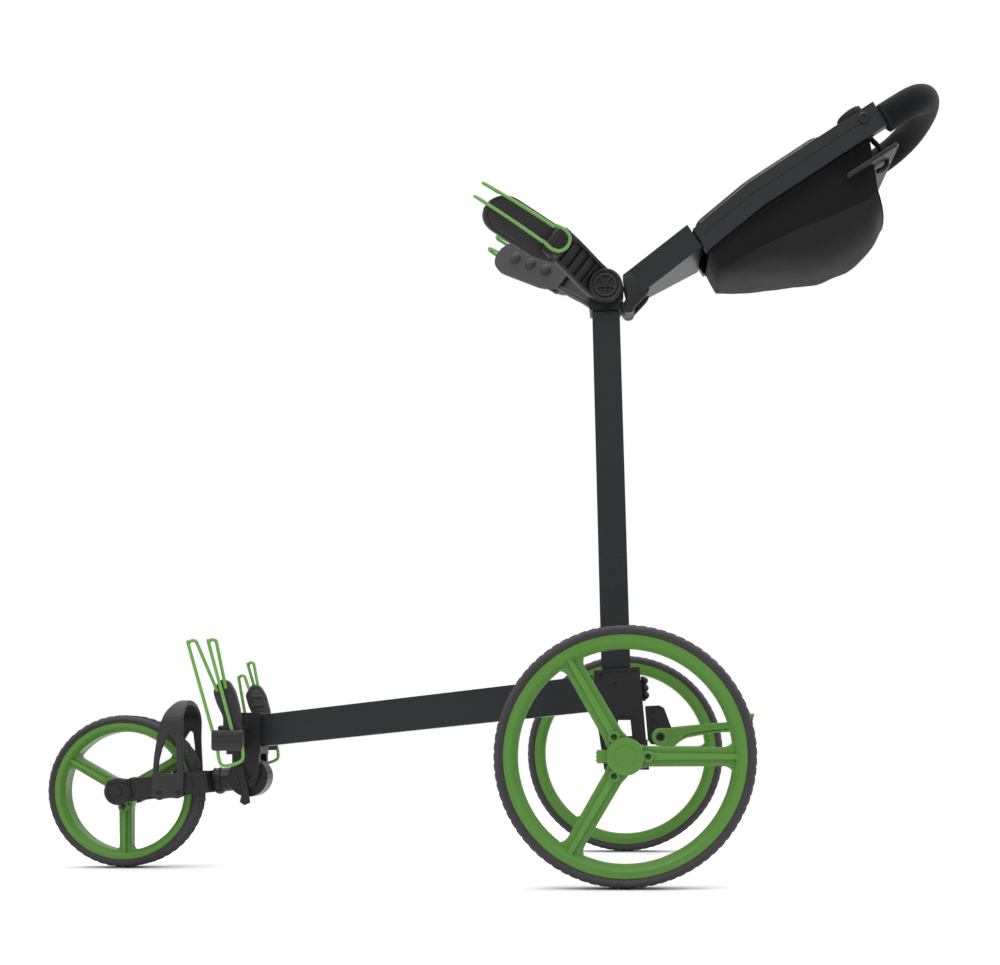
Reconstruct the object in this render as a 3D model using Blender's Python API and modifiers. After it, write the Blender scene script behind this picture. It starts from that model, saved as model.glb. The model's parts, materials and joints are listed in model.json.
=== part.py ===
"""Golf push trolley: a three-wheeled cart that folds flat and carries a golf bag.

Metres, +Z up. The front wheel is towards -X, the handle towards +X, and left is -Y.
The origin is on the ground, in the middle of the bounding box.
Side frames have x along a bar, y across the trolley and z square to the bar.
"""

import math

import bmesh
import bpy
from mathutils import Matrix, Vector

# Driving dimensions.
AXLE_X = 0.1732  # rear axle line, from the middle of the overall length
GAP = 0.0004  # clearance between neighbouring pieces

REAR_WHEEL_R = 0.1475
REAR_WHEEL_Y = 0.3075
FRONT_WHEEL_R = 0.100
WHEELBASE = 0.656
TYRE_WIDTH = 0.045

TUBE_ANGLE = 6.4  # lower tube, rising to the rear
COLUMN_ANGLE = 91.6  # column, leaning a little forward
HANDLE_ANGLE = 33.0
CRADLE_ANGLE = 142.0

# Joint places, measured from the point on the ground under the rear axle.
COLUMN_PIVOT = (-0.033, 0.2525)
HEAD_PIVOT = (-0.026, 0.7563)
HANDLE_PIVOT = (0.004, 0.733)
FORK_PIVOT = (-0.494, 0.1184)
BRAKE_PIVOT = (0.0456, 0.1709)
ARM_PIN_Y = 0.046
FLIP_PIN_Y = 0.252
AXLE_Z = REAR_WHEEL_R

COLUMN_PIN_R = 0.0025
ARM_PIN_R = 0.0040
FLIP_PIN_R = 0.0032
HANDLE_PIN_R = 0.0032
BRAKE_PIN_R = 0.0022
KNUCKLE_PIN_R = 0.0050
SPINDLE_R = 0.0075
FRONT_AXLE_R = 0.0045
CRADLE_BOLT_R = 0.0045
PEDAL_TRUNNION_R = 0.0035

BRAKE_NOTCHES = 12
BRAKE_PIN_RING = 0.0133  # radius of the notches and of the brake pin about the axle

SIDES = ((-1, "left"), (1, "right"))
SPOKES = 3
WHEEL_STEPS = 40
ROUND = 20  # sides of a plain round piece


# Scene, frames and materials.


def clear_scene():
    for obj in list(bpy.data.objects):
        bpy.data.objects.remove(obj, do_unlink=True)


def new_collection(name):
    made = bpy.data.collections.new(name)
    bpy.context.scene.collection.children.link(made)
    return made


def side_frame(x, z, angle):
    """A frame in the trolley's side plane, its x axis turned up from +X by the angle."""
    return Matrix.Translation((AXLE_X + x, 0, z)) @ Matrix.Rotation(-math.radians(angle), 4, "Y")


def material(name, colour, roughness, metallic=0.0):
    made = bpy.data.materials.new(name)
    made.use_nodes = True
    shader = made.node_tree.nodes["Principled BSDF"]
    shader.inputs["Base Color"].default_value = (*colour, 1.0)
    shader.inputs["Roughness"].default_value = roughness
    shader.inputs["Metallic"].default_value = metallic
    return made


clear_scene()
PARTS = new_collection("golf_push_trolley")
CUTTERS = new_collection("cutters")

GROUND = Matrix.Translation((AXLE_X, 0, 0))
TUBE = side_frame(-0.041, 0.228, TUBE_ANGLE)
COLUMN = side_frame(-0.0124, 0.262, COLUMN_ANGLE)
HEAD = side_frame(*HEAD_PIVOT, 0)
HANDLE = side_frame(*HANDLE_PIVOT, HANDLE_ANGLE)
CRADLE = side_frame(*HEAD_PIVOT, CRADLE_ANGLE)
FORK_ANGLE = 180 + math.degrees(
    math.atan2(FORK_PIVOT[1] - FRONT_WHEEL_R, WHEELBASE + FORK_PIVOT[0])
)
FORK = side_frame(*FORK_PIVOT, FORK_ANGLE)
FORK_LENGTH = math.hypot(FORK_PIVOT[1] - FRONT_WHEEL_R, WHEELBASE + FORK_PIVOT[0])
FRONT_HUB = side_frame(-WHEELBASE, FRONT_WHEEL_R, 0)

ALUMINIUM = material("black_anodised_tube", (0.014, 0.02, 0.023), 0.42, 0.6)
PLASTIC = material("black_moulding", (0.02, 0.02, 0.022), 0.5)
GREY_PLASTIC = material("grey_moulding", (0.06, 0.06, 0.065), 0.55)
GREEN = material("green_moulding", (0.075, 0.22, 0.03), 0.45)
CORD_GREEN = material("green_cord", (0.12, 0.36, 0.05), 0.55)
TYRE_RUBBER = material("tyre_rubber", (0.035, 0.033, 0.036), 0.8)
PAD_RUBBER = material("pad_rubber", (0.05, 0.048, 0.052), 0.75)
STEEL = material("blackened_steel", (0.1, 0.1, 0.1), 0.35, 1.0)
FOAM = material("foam", (0.008, 0.008, 0.009), 0.95)
FABRIC = material("bag_fabric", (0.02, 0.02, 0.02), 0.9)


# Shapes. A shape made with tool=True is a helper that only cuts or joins another.


def finish_object(obj, name, paint, tool):
    obj.name = name
    for collection in list(obj.users_collection):
        collection.objects.unlink(obj)
    (CUTTERS if tool else PARTS).objects.link(obj)
    if tool:
        obj.hide_render = True
        obj.display_type = "WIRE"
    else:
        obj.data.materials.clear()
        obj.data.materials.append(paint)
    return obj


def mesh_object(name, bm, matrix, paint, tool):
    mesh = bpy.data.meshes.new(name)
    bm.to_mesh(mesh)
    bm.free()
    obj = bpy.data.objects.new(name, mesh)
    obj.matrix_world = matrix
    return finish_object(obj, name, paint, tool)


def block(name, low, high, frame=GROUND, paint=PLASTIC, tool=False, edge=0.0):
    """A box between two corners of the frame, with its edges bevelled by edge."""
    low, high = Vector(low), Vector(high)
    bm = bmesh.new()
    bmesh.ops.create_cube(bm, size=1.0)
    bmesh.ops.scale(bm, vec=high - low, verts=bm.verts)
    obj = mesh_object(name, bm, frame @ Matrix.Translation((low + high) / 2), paint, tool)
    if edge:
        bevel = obj.modifiers.new("rounded edges", "BEVEL")
        bevel.width = edge
        bevel.segments = 1
    return obj


def taper(name, x0, x1, start, end, frame=GROUND, paint=PLASTIC, tool=False):
    """A bar from x0 to x1 with (width, height) start and end sections."""
    bm = bmesh.new()
    bmesh.ops.create_cube(bm, size=1.0)
    for v in bm.verts:
        width, height = start if v.co.x < 0 else end
        v.co = (x0 if v.co.x < 0 else x1, v.co.y * width, v.co.z * height)
    return mesh_object(name, bm, frame, paint, tool)


def rod(name, start, end, radius, frame=GROUND, paint=STEEL, tool=False, sides=ROUND):
    """A cylinder between two points of the frame."""
    start, end = Vector(start), Vector(end)
    bm = bmesh.new()
    bmesh.ops.create_cone(
        bm,
        cap_ends=True,
        segments=sides,
        radius1=radius,
        radius2=radius,
        depth=(end - start).length,
    )
    for face in bm.faces:
        face.smooth = len(face.verts) == 4
    turn = (end - start).to_track_quat("Z", "Y").to_matrix().to_4x4()
    matrix = frame @ Matrix.Translation((start + end) / 2) @ turn
    return mesh_object(name, bm, matrix, paint, tool)


def cross_rod(name, place, half, radius, frame=GROUND, paint=STEEL, tool=False, sides=ROUND):
    """A cylinder across the trolley, through an (x, z) place of the frame."""
    x, z = place
    return rod(name, (x, -half, z), (x, half, z), radius, frame, paint, tool, sides)


def solid_from_curve(curve_obj, name, paint, tool):
    """The curve as a closed mesh, which Booleans can use."""
    bpy.context.scene.collection.objects.link(curve_obj)
    bpy.context.view_layer.update()
    graph = bpy.context.evaluated_depsgraph_get()
    mesh = bpy.data.meshes.new_from_object(curve_obj.evaluated_get(graph))
    bm = bmesh.new()
    bm.from_mesh(mesh)
    bmesh.ops.remove_doubles(bm, verts=bm.verts, dist=0.00001)
    bmesh.ops.recalc_face_normals(bm, faces=bm.faces)
    bm.to_mesh(mesh)
    bm.free()
    obj = bpy.data.objects.new(name, mesh)
    obj.matrix_world = curve_obj.matrix_world.copy()
    bpy.data.objects.remove(curve_obj, do_unlink=True)
    return finish_object(obj, name, paint, tool)


def outline(name, points, thickness, matrix, paint, tool):
    curve = bpy.data.curves.new(name, "CURVE")
    curve.dimensions = "2D"
    curve.fill_mode = "BOTH"
    curve.extrude = thickness / 2
    spline = curve.splines.new("POLY")
    spline.points.add(len(points) - 1)
    for point, (x, y) in zip(spline.points, points):
        point.co = (x, y, 0, 1)
    spline.use_cyclic_u = True
    obj = bpy.data.objects.new(name, curve)
    obj.matrix_world = matrix
    return solid_from_curve(obj, name, paint, tool)


def slab(name, points, y0, y1, frame=GROUND, paint=PLASTIC, tool=False):
    """An outline in the frame's x-z plane, as thick as y0 to y1."""
    stand = Matrix.Translation((0, (y0 + y1) / 2, 0)) @ Matrix.Rotation(math.pi / 2, 4, "X")
    return outline(name, points, abs(y1 - y0), frame @ stand, paint, tool)


def plan(name, points, z0, z1, frame=GROUND, paint=PLASTIC, tool=False):
    """An outline in the frame's x-y plane, as tall as z0 to z1."""
    matrix = frame @ Matrix.Translation((0, 0, (z0 + z1) / 2))
    return outline(name, points, abs(z1 - z0), matrix, paint, tool)


def arc(x, y, radius, start, end, count):
    """Points along an arc, with angles in degrees."""
    angles = (math.radians(start + (end - start) * i / (count - 1)) for i in range(count))
    return [(x + radius * math.cos(a), y + radius * math.sin(a)) for a in angles]


def smooth(points, steps):
    """Points along a Catmull-Rom curve through the given ones."""
    held = [points[0], *points, points[-1]]
    made = []
    for a, b, c, d in zip(held, held[1:], held[2:], held[3:]):
        a, b, c, d = Vector(a), Vector(b), Vector(c), Vector(d)
        for i in range(steps):
            t = i / steps
            made.append(
                0.5 * (2 * b + (c - a) * t + (2 * a - 5 * b + 4 * c - d) * t * t)
                + 0.5 * (3 * b - a - 3 * c + d) * t**3
            )
    return [*made, Vector(points[-1])]


def wire(name, points, radius, frame, paint, resolution=1):
    """A round cord or tube along the points."""
    curve = bpy.data.curves.new(name, "CURVE")
    curve.dimensions = "3D"
    curve.bevel_depth = radius
    curve.bevel_resolution = resolution
    curve.use_fill_caps = True
    spline = curve.splines.new("POLY")
    spline.points.add(len(points) - 1)
    for point, place in zip(spline.points, points):
        point.co = (*place, 1)
    obj = bpy.data.objects.new(name, curve)
    obj.matrix_world = frame
    return solid_from_curve(obj, name, paint, False)


def turned(name, profile, frame, paint=PLASTIC, tool=False, steps=ROUND):
    """A ring or a solid turned about the frame's y axis, from (radius, offset) points."""
    area = sum(
        a[0] * b[1] - b[0] * a[1] for a, b in zip(profile, [*profile[1:], profile[0]])
    )
    if area > 0:
        profile = profile[::-1]
    ring = all(radius > 0 for radius, _ in profile)
    if not ring:
        on_axis = [i for i, point in enumerate(profile) if point[0] == 0]
        first = on_axis[0] if on_axis[0] > 0 else on_axis[-1]
        first = first if profile[first - len(profile) + 1][0] > 0 else on_axis[0]
        profile = profile[first:] + profile[:first]
    bm = bmesh.new()
    verts = [bm.verts.new((radius, 0, offset)) for radius, offset in profile]
    for a, b in zip(verts, verts[1:]):
        bm.edges.new((a, b))
    if ring:
        bm.edges.new((verts[-1], verts[0]))
    matrix = frame @ Matrix.Rotation(-math.pi / 2, 4, "X")
    obj = mesh_object(name, bm, matrix, paint, tool)
    screw = obj.modifiers.new("turn", "SCREW")
    screw.steps = screw.render_steps = steps
    screw.use_merge_vertices = True
    screw.merge_threshold = 0.00001
    return obj


def boolean(obj, others, operation):
    for other in others:
        step = obj.modifiers.new(f"{operation.lower()} {other.name}", "BOOLEAN")
        step.operation = operation
        step.object = other
    return obj


def join(obj, *others):
    return boolean(obj, others, "UNION")


def cut(obj, *others):
    return boolean(obj, others, "DIFFERENCE")


def corners(a, b):
    """The low and high corners of the box between two opposite ones."""
    return [min(pair) for pair in zip(a, b)], [max(pair) for pair in zip(a, b)]


def offset_frame(frame, x=0.0, y=0.0, z=0.0):
    return frame @ Matrix.Translation((x, y, z))


# Wheels.


def tyre(name, radius, rim_radius, frame):
    """A low solid tyre: shoulders rounded off, resting in the rim's channel."""
    half = TYRE_WIDTH / 2
    return turned(
        name,
        [
            (rim_radius + GAP, half - 0.004),
            (radius - 0.0055, half),
            (radius - 0.001, half - 0.007),
            (radius, 0.0),
            (radius - 0.001, -half + 0.007),
            (radius - 0.0055, -half),
            (rim_radius + GAP, -half + 0.004),
        ],
        frame,
        TYRE_RUBBER,
        steps=WHEEL_STEPS,
    )


def spoke(name, side, angle, hub_radius, rim_radius, width, frame):
    """One flared spoke, reaching from inside the hub to inside the rim."""
    turn = frame @ Matrix.Rotation(-math.radians(angle), 4, "Y")
    depth = Matrix.Translation((0, side * 0.007, 0))
    return taper(
        name,
        hub_radius * 0.6,
        rim_radius,
        (0.022, width * 0.8),
        (0.026, width * 1.15),
        turn @ depth,
        tool=True,
    )


def rim(name, side, frame, outer, opening, hub_radius, bore, width, first_spoke):
    """A rim ring, a hub and three spokes as one moulding. side points outwards."""
    half = 0.019
    ring = turned(
        name,
        [
            (outer, half),
            (outer, -half),
            (opening + 0.004, -half),
            (opening, -half + 0.006),
            (opening, half - 0.006),
            (opening + 0.006, half),
        ],
        frame,
        GREEN,
        steps=WHEEL_STEPS,
    )
    hub = turned(
        name + "_hub",
        [(hub_radius, 0.019), (hub_radius, -0.019), (bore, -0.019), (bore, 0.019)],
        frame,
        tool=True,
        steps=24,
    )
    spokes = []
    for i in range(SPOKES):
        angle = first_spoke + 360 / SPOKES * i
        made = spoke(f"{name}_spoke_{i}", side, angle, hub_radius, outer - 0.006, width, frame)
        spokes.append(cut(made, bore_tool(f"{made.name}_bore", bore, frame)))
    return join(ring, hub, *spokes)


def bore_tool(name, bore, frame):
    return cross_rod(name, (0, 0), 0.05, bore, frame, tool=True, sides=24)


# Rear bracket, column foot and the folding lever.


def rear_bracket():
    """A casting that holds the tube's end, the column's foot and the wheel arms."""
    face = [
        (-0.041, 0.2572),
        (-0.041, 0.205),
        (-0.0345, 0.176),
        (-0.0275, 0.1280),
        (0.0310, 0.1280),
        (0.0275, 0.1620),
        (0.0185, 0.2620),
    ]
    left = slab("rear_bracket", face, -0.027, -0.0195)
    right = slab("bracket_right_plate", face, 0.0195, 0.027, tool=True)
    web = slab(
        "bracket_web",
        [(-0.0372, 0.197), (-0.0372, 0.2145), (0.0215, 0.2145), (0.0235, 0.197)],
        -0.023,
        0.023,
        tool=True,
    )
    spigot_size = (0.0285, 0.03)
    spigot_frame = offset_frame(TUBE, z=-0.0035)
    spigot = taper("bracket_spigot", -0.07, 0.006, spigot_size, spigot_size, spigot_frame, tool=True)
    housing = block(
        "bracket_housing", (-0.0265, -0.0275, 0.1285), (0.0290, 0.0275, 0.1675), tool=True
    )
    lugs = [
        plan(
            f"bracket_lug_{word}_{level}",
            [(-0.014, side * 0.02), *lug_round(side), (0.014, side * 0.02)],
            z0,
            z1,
            tool=True,
        )
        for side, word in SIDES
        for level, z0, z1 in (("top", 0.1605, 0.1672), ("bottom", 0.1290, 0.1355))
    ]
    window = slab(
        "bracket_window",
        [(-0.0115, 0.172), (-0.0095, 0.1935), (0.0068, 0.1935), (0.009, 0.172)],
        -0.04,
        0.04,
        tool=True,
    )
    pin = cross_rod("bracket_pin_bore", COLUMN_PIVOT, 0.04, COLUMN_PIN_R + GAP, tool=True)
    arm_pins = [
        rod(
            f"bracket_arm_bore_{word}",
            (0, side * ARM_PIN_Y, 0.12),
            (0, side * ARM_PIN_Y, 0.18),
            ARM_PIN_R + GAP,
            tool=True,
        )
        for side, word in SIDES
    ]
    join(left, right, web, spigot, housing, *lugs)
    return cut(left, window, pin, *arm_pins)


def lug_round(side):
    """The rounded end of a lug about an arm pin."""
    start, end = (180, 360) if side < 0 else (180, 0)
    return arc(0, side * ARM_PIN_Y, 0.013, start, end, 9)


def column_foot():
    """The casting inside the column's lower end, hinged on the column pin."""
    foot = slab(
        "column_foot",
        [
            (-0.0300, 0.2590),
            (-0.0300, 0.2480),
            (-0.0310, 0.2260),
            (0.0045, 0.2260),
            (0.0055, 0.2612),
            (-0.0300, 0.2612),
        ],
        -0.0185,
        0.0185,
    )
    lug = cross_rod("foot_lug", COLUMN_PIVOT, 0.0185, 0.0058, tool=True)
    spigot_size = (0.0275, 0.0315)
    spigot = taper("foot_spigot", -0.004, 0.05, spigot_size, spigot_size, COLUMN, tool=True)
    bore = cross_rod("foot_bore", COLUMN_PIVOT, 0.03, COLUMN_PIN_R + GAP, tool=True)
    return cut(join(foot, lug, spigot), bore)


def column_parts():
    tube = taper("column_tube", 0.0, 0.466, (0.034, 0.038), (0.031, 0.036), COLUMN, ALUMINIUM)
    hollow = taper(
        "column_hollow", -0.01, 0.476, (0.0290, 0.0330), (0.0270, 0.0325), COLUMN, tool=True
    )
    cut(tube, hollow)
    column_foot()
    cross_rod("column_pivot_pin", COLUMN_PIVOT, 0.030, COLUMN_PIN_R)
    column_head()


def column_head():
    """The hinge housing on top of the column, with a lug behind it for the handle."""
    drum = cross_rod("column_head", (0, 0), 0.022, 0.0235, HEAD, PLASTIC, sides=28)
    collar = block(
        "head_collar", (0.4672, -0.0205, -0.0190), (0.492, 0.0205, 0.0215), COLUMN, tool=True
    )
    spigot_size = (0.0258, 0.0315)
    spigot = taper("head_spigot", 0.43, 0.475, spigot_size, spigot_size, COLUMN, tool=True)
    hx, hz = HANDLE_PIVOT
    lug = slab(
        "head_lug",
        [
            (-0.02, hz + 0.012),
            (-0.02, hz - 0.003),
            (-0.0065, hz - 0.003),
            *arc(hx, hz, 0.008, 240, 400, 8),
        ],
        -0.0125,
        0.0125,
        tool=True,
    )
    bolt = cross_rod("head_bolt_bore", (0, 0), 0.03, CRADLE_BOLT_R + GAP, HEAD, tool=True)
    pin = cross_rod("head_pin_bore", (0, 0), 0.03, HANDLE_PIN_R + GAP, HANDLE, tool=True)
    return cut(join(drum, collar, spigot, lug), bolt, pin)


def fold_lever():
    """The release lever behind the bracket, with three finger ridges."""
    lever = slab(
        "fold_lever",
        [(0.0215, 0.2185), (0.0205, 0.2500), (0.0245, 0.2500), (0.0268, 0.2185)],
        -0.017,
        0.017,
        paint=PLASTIC,
    )
    ridges = []
    for i in range(3):
        place = (0.0248 + 0.0008 * i, 0.2445 - 0.0095 * i)
        ridges.append(cross_rod(f"lever_ridge_{i}", place, 0.017, 0.0047, tool=True, sides=14))
    return join(lever, *ridges)


# Rear wheels with their arms.


def on_side(side):
    """A function that turns (x, outward, z) into a point on that side."""
    return lambda x, out, z: (x, side * out, z)


def wheel_arm(side, word):
    """A swinging arm: a lug on the bracket's pin and a fork for the wheel's carrier."""
    at = on_side(side)
    turn = 180 if side < 0 else -180
    arm = plan(
        f"wheel_arm_{word}",
        [
            *arc(0, side * ARM_PIN_Y, 0.0118, 0, turn, 7),
            (-0.0145, side * 0.2330),
            (-0.0145, side * FLIP_PIN_Y),
            (0.0145, side * FLIP_PIN_Y),
            (0.0145, side * 0.2330),
        ],
        0.1365,
        0.1595,
        paint=ALUMINIUM,
    )
    pin = (FLIP_PIN_Y, AXLE_Z)
    knuckle = rod(f"arm_knuckle_{word}", at(-0.0145, *pin), at(0.0145, *pin), 0.0110, tool=True)
    slot = block(
        f"arm_slot_{word}",
        *corners(at(-0.0075, 0.2385, 0.13), at(0.0075, 0.28, 0.165)),
        tool=True,
    )
    root = rod(
        f"arm_root_bore_{word}",
        at(0, ARM_PIN_Y, 0.13),
        at(0, ARM_PIN_Y, 0.17),
        ARM_PIN_R + GAP,
        tool=True,
    )
    flip = rod(f"arm_flip_bore_{word}", at(-0.02, *pin), at(0.02, *pin), FLIP_PIN_R + GAP, tool=True)
    return cut(join(arm, knuckle), slot, root, flip)


def wheel_carrier(side, word):
    """The piece that tips the wheel flat: tongue, collar with the brake pin's bore, and stub."""
    at = on_side(side)
    pin = (FLIP_PIN_Y, AXLE_Z)
    tongue = rod(
        f"wheel_carrier_{word}", at(-0.0068, *pin), at(0.0068, *pin), 0.0092, paint=PLASTIC
    )
    neck = rod(
        f"carrier_neck_{word}", at(0, 0.2540, AXLE_Z), at(0, 0.2840, AXLE_Z), 0.0066, tool=True
    )
    trunnion = rod(
        f"carrier_trunnion_{word}", at(-0.0135, *pin), at(0.0135, *pin), FLIP_PIN_R, tool=True
    )
    collar = turned(
        f"carrier_collar_{word}",
        [(0, side * 0.2650), (0.0180, side * 0.2650), (0.0180, side * 0.2878), (0, side * 0.2878)],
        side_frame(0, AXLE_Z, 0),
        tool=True,
        steps=24,
    )
    stub = rod(
        f"carrier_stub_{word}", at(0, 0.28, AXLE_Z), at(0, 0.3225, AXLE_Z), 0.0060, tool=True
    )
    pin_z = AXLE_Z + BRAKE_PIN_RING
    bore = rod(
        f"carrier_pin_bore_{word}",
        at(0, 0.2600, pin_z),
        at(0, 0.2920, pin_z),
        BRAKE_PIN_R + GAP,
        tool=True,
    )
    rod(f"brake_pin_{word}", at(0, 0.2675, pin_z), at(0, 0.2872, pin_z), BRAKE_PIN_R, sides=12)
    return cut(join(tongue, neck, trunnion, collar, stub), bore)


def rear_wheel(side, word):
    """The tyre, the rim with its cap and twelve brake notches, the bearing and the tab."""
    hub = side_frame(0, AXLE_Z, 0) @ Matrix.Translation((0, side * REAR_WHEEL_Y, 0))
    tyre(f"rear_tyre_{word}", REAR_WHEEL_R, 0.1362, hub)
    wheel = rim(f"rear_rim_{word}", side, hub, 0.1362, 0.1225, 0.0205, 0.0112, 0.0165, 0)
    cap = turned(
        f"rear_cap_{word}",
        [(0, side * 0.0185), (0.0205, side * 0.0185), (0.0190, side * 0.0222), (0, side * 0.0222)],
        hub,
        tool=True,
        steps=24,
    )
    notches = []
    for i in range(BRAKE_NOTCHES):
        turn = 2 * math.pi * i / BRAKE_NOTCHES
        x, z = BRAKE_PIN_RING * math.cos(turn), BRAKE_PIN_RING * math.sin(turn)
        ends = (x, -side * 0.0215, z), (x, -side * 0.0120, z)
        notches.append(rod(f"brake_notch_{word}_{i}", *ends, 0.0030, hub, tool=True, sides=8))
    tab_slot = block(
        f"tab_slot_{word}", (-0.035, -0.0065, -0.0075), (-0.0100, 0.0065, 0.0075), hub, tool=True
    )
    join(wheel, cap)
    cut(wheel, *notches, tab_slot)
    turned(
        f"rear_bearing_{word}",
        [(0.0108, -0.0045), (0.0064, -0.0045), (0.0064, 0.0045), (0.0108, 0.0045)],
        offset_frame(hub, y=-side * 0.0125),
        STEEL,
        steps=20,
    )
    block(
        f"release_tab_{word}",
        (-0.0320, -0.006, -0.0070),
        (-0.0135, 0.006, 0.0070),
        hub,
        GREEN,
        edge=0.0012,
    )


def rear_side(side, word):
    at = on_side(side)
    ends = at(0, ARM_PIN_Y, 0.1270), at(0, ARM_PIN_Y, 0.1690)
    rod(f"arm_pivot_pin_{word}", *ends, ARM_PIN_R)
    wheel_arm(side, word)
    wheel_carrier(side, word)
    rear_wheel(side, word)


# Front fork, arch and wheel.


def fork_parts():
    """The knuckle, the collar that locks its roll, the two-armed crown and the wheel."""
    knuckle = cross_rod("fork_knuckle", (0, 0), 0.0160, 0.0260, FORK, PLASTIC, sides=28)
    socket = rod("knuckle_socket", (0.010, 0, 0), (0.036, 0, 0), 0.0155, FORK, tool=True)
    spindle = rod("knuckle_spindle", (0.030, 0, 0), (0.0585, 0, 0), SPINDLE_R, FORK, tool=True)
    bore = cross_rod("knuckle_bore", (0, 0), 0.03, KNUCKLE_PIN_R + GAP, FORK, tool=True)
    cut(join(knuckle, socket, spindle), bore)

    collar = rod("roll_collar", (0.0365, 0, 0), (0.0465, 0, 0), 0.0165, FORK, PLASTIC, sides=12)
    collar_bore = rod("collar_bore", (0.03, 0, 0), (0.06, 0, 0), SPINDLE_R + GAP, FORK, tool=True)
    cut(collar, collar_bore)
    fork_crown()

    cross_rod("front_axle", (FORK_LENGTH, 0), 0.0440, FRONT_AXLE_R, FORK)
    tyre("front_tyre", FRONT_WHEEL_R, 0.0895, FRONT_HUB)
    rim("front_rim", -1, FRONT_HUB, 0.0895, 0.0775, 0.0150, 0.0049, 0.0125, 30)
    fork_arch()
    fork_latch()


def fork_crown():
    """The fork's crown block with an arm each side, round at the axle."""
    crown = block("fork_crown", (0.0470, -0.0400, -0.0140), (0.0600, 0.0400, 0.0140), FORK, ALUMINIUM)
    arms, ends = [], []
    for side, word in SIDES:
        low = (0.0500, side * 0.0300, -0.0145)
        high = (FORK_LENGTH, side * 0.0402, 0.0145)
        arms.append(block(f"crown_arm_{word}", *corners(low, high), FORK, tool=True))
        inner, outer = (FORK_LENGTH, side * 0.0295, 0), (FORK_LENGTH, side * 0.0405, 0)
        ends.append(rod(f"crown_end_{word}", inner, outer, 0.0175, FORK, tool=True))
    bore = rod("crown_bore", (0.04, 0, 0), (0.07, 0, 0), SPINDLE_R + GAP, FORK, tool=True)
    axle = cross_rod("crown_axle_bore", (FORK_LENGTH, 0), 0.06, FRONT_AXLE_R + GAP, FORK, tool=True)
    return cut(join(crown, *arms, *ends), bore, axle)


def fork_arch():
    """The arch over the front wheel: two A-shaped legs and a bowed top."""
    leg = [
        (-0.6080, 0.0930),
        (-0.5680, 0.0930),
        (-0.5670, 0.1250),
        (-0.5640, 0.1650),
        (-0.5660, 0.2030),
        (-0.5820, 0.2050),
        (-0.5960, 0.1650),
        (-0.6090, 0.1250),
    ]
    window = [
        (-0.5990, 0.1310),
        (-0.5740, 0.1310),
        (-0.5710, 0.1640),
        (-0.5725, 0.1900),
        (-0.5790, 0.1900),
        (-0.5890, 0.1620),
    ]
    left = slab("fork_arch", leg, -0.0465, -0.0409)
    right = slab("arch_right", leg, 0.0409, 0.0465, tool=True)
    top = slab(
        "arch_top",
        [
            (-0.5850, 0.2020),
            (-0.5660, 0.1990),
            (-0.5680, 0.2120),
            (-0.5800, 0.2150),
            (-0.5900, 0.2100),
        ],
        -0.0465,
        0.0465,
        tool=True,
    )
    cutter = slab("arch_window", window, -0.07, 0.07, tool=True)
    return cut(join(left, right, top), cutter)


def fork_latch():
    """The hook beside the knuckle that holds the fork, hinged on the front block."""
    return slab(
        "fork_latch",
        [
            (-0.5055, 0.1330),
            (-0.4960, 0.1330),
            (-0.4900, 0.1000),
            (-0.4880, 0.0850),
            (-0.4950, 0.0820),
            (-0.5010, 0.0860),
            (-0.4980, 0.1000),
        ],
        -0.0305,
        -0.0266,
    )


def front_block():
    """The casting on the tube's front end, with ears for the knuckle below it."""
    body = slab(
        "front_block",
        [
            (-0.5200, 0.1480),
            (-0.4760, 0.1490),
            (-0.4760, 0.2025),
            (-0.5120, 0.2025),
            (-0.5200, 0.1960),
        ],
        -0.0240,
        0.0240,
    )
    size = (0.0308, 0.0418)
    socket = taper("block_socket", -0.4640, -0.400, size, size, TUBE, tool=True)
    kx, kz = FORK_PIVOT
    ear = [
        (-0.5120, 0.1550),
        (-0.5120, 0.1260),
        *arc(kx, kz, 0.0150, 190, 350, 8),
        (-0.4770, 0.1260),
        (-0.4770, 0.1550),
    ]
    ears = [
        slab(f"block_ear_{word}", ear, *sorted((side * 0.0165, side * 0.0260)), tool=True)
        for side, word in SIDES
    ]
    size = (0.0245, 0.0340)
    spigot = taper("block_spigot", -0.474, -0.410, size, size, TUBE, tool=True)
    bore = cross_rod("block_bore", (0, 0), 0.03, KNUCKLE_PIN_R + GAP, FORK, tool=True)
    return cut(join(cut(body, socket), *ears, spigot), bore)


# Bag cradles and their cords.


LOWER_CORD_TIPS = {
    "left": ((-0.545, 0.290), (-0.520, 0.291)),
    "right": ((-0.530, 0.256), (-0.518, 0.274)),
}


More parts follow.
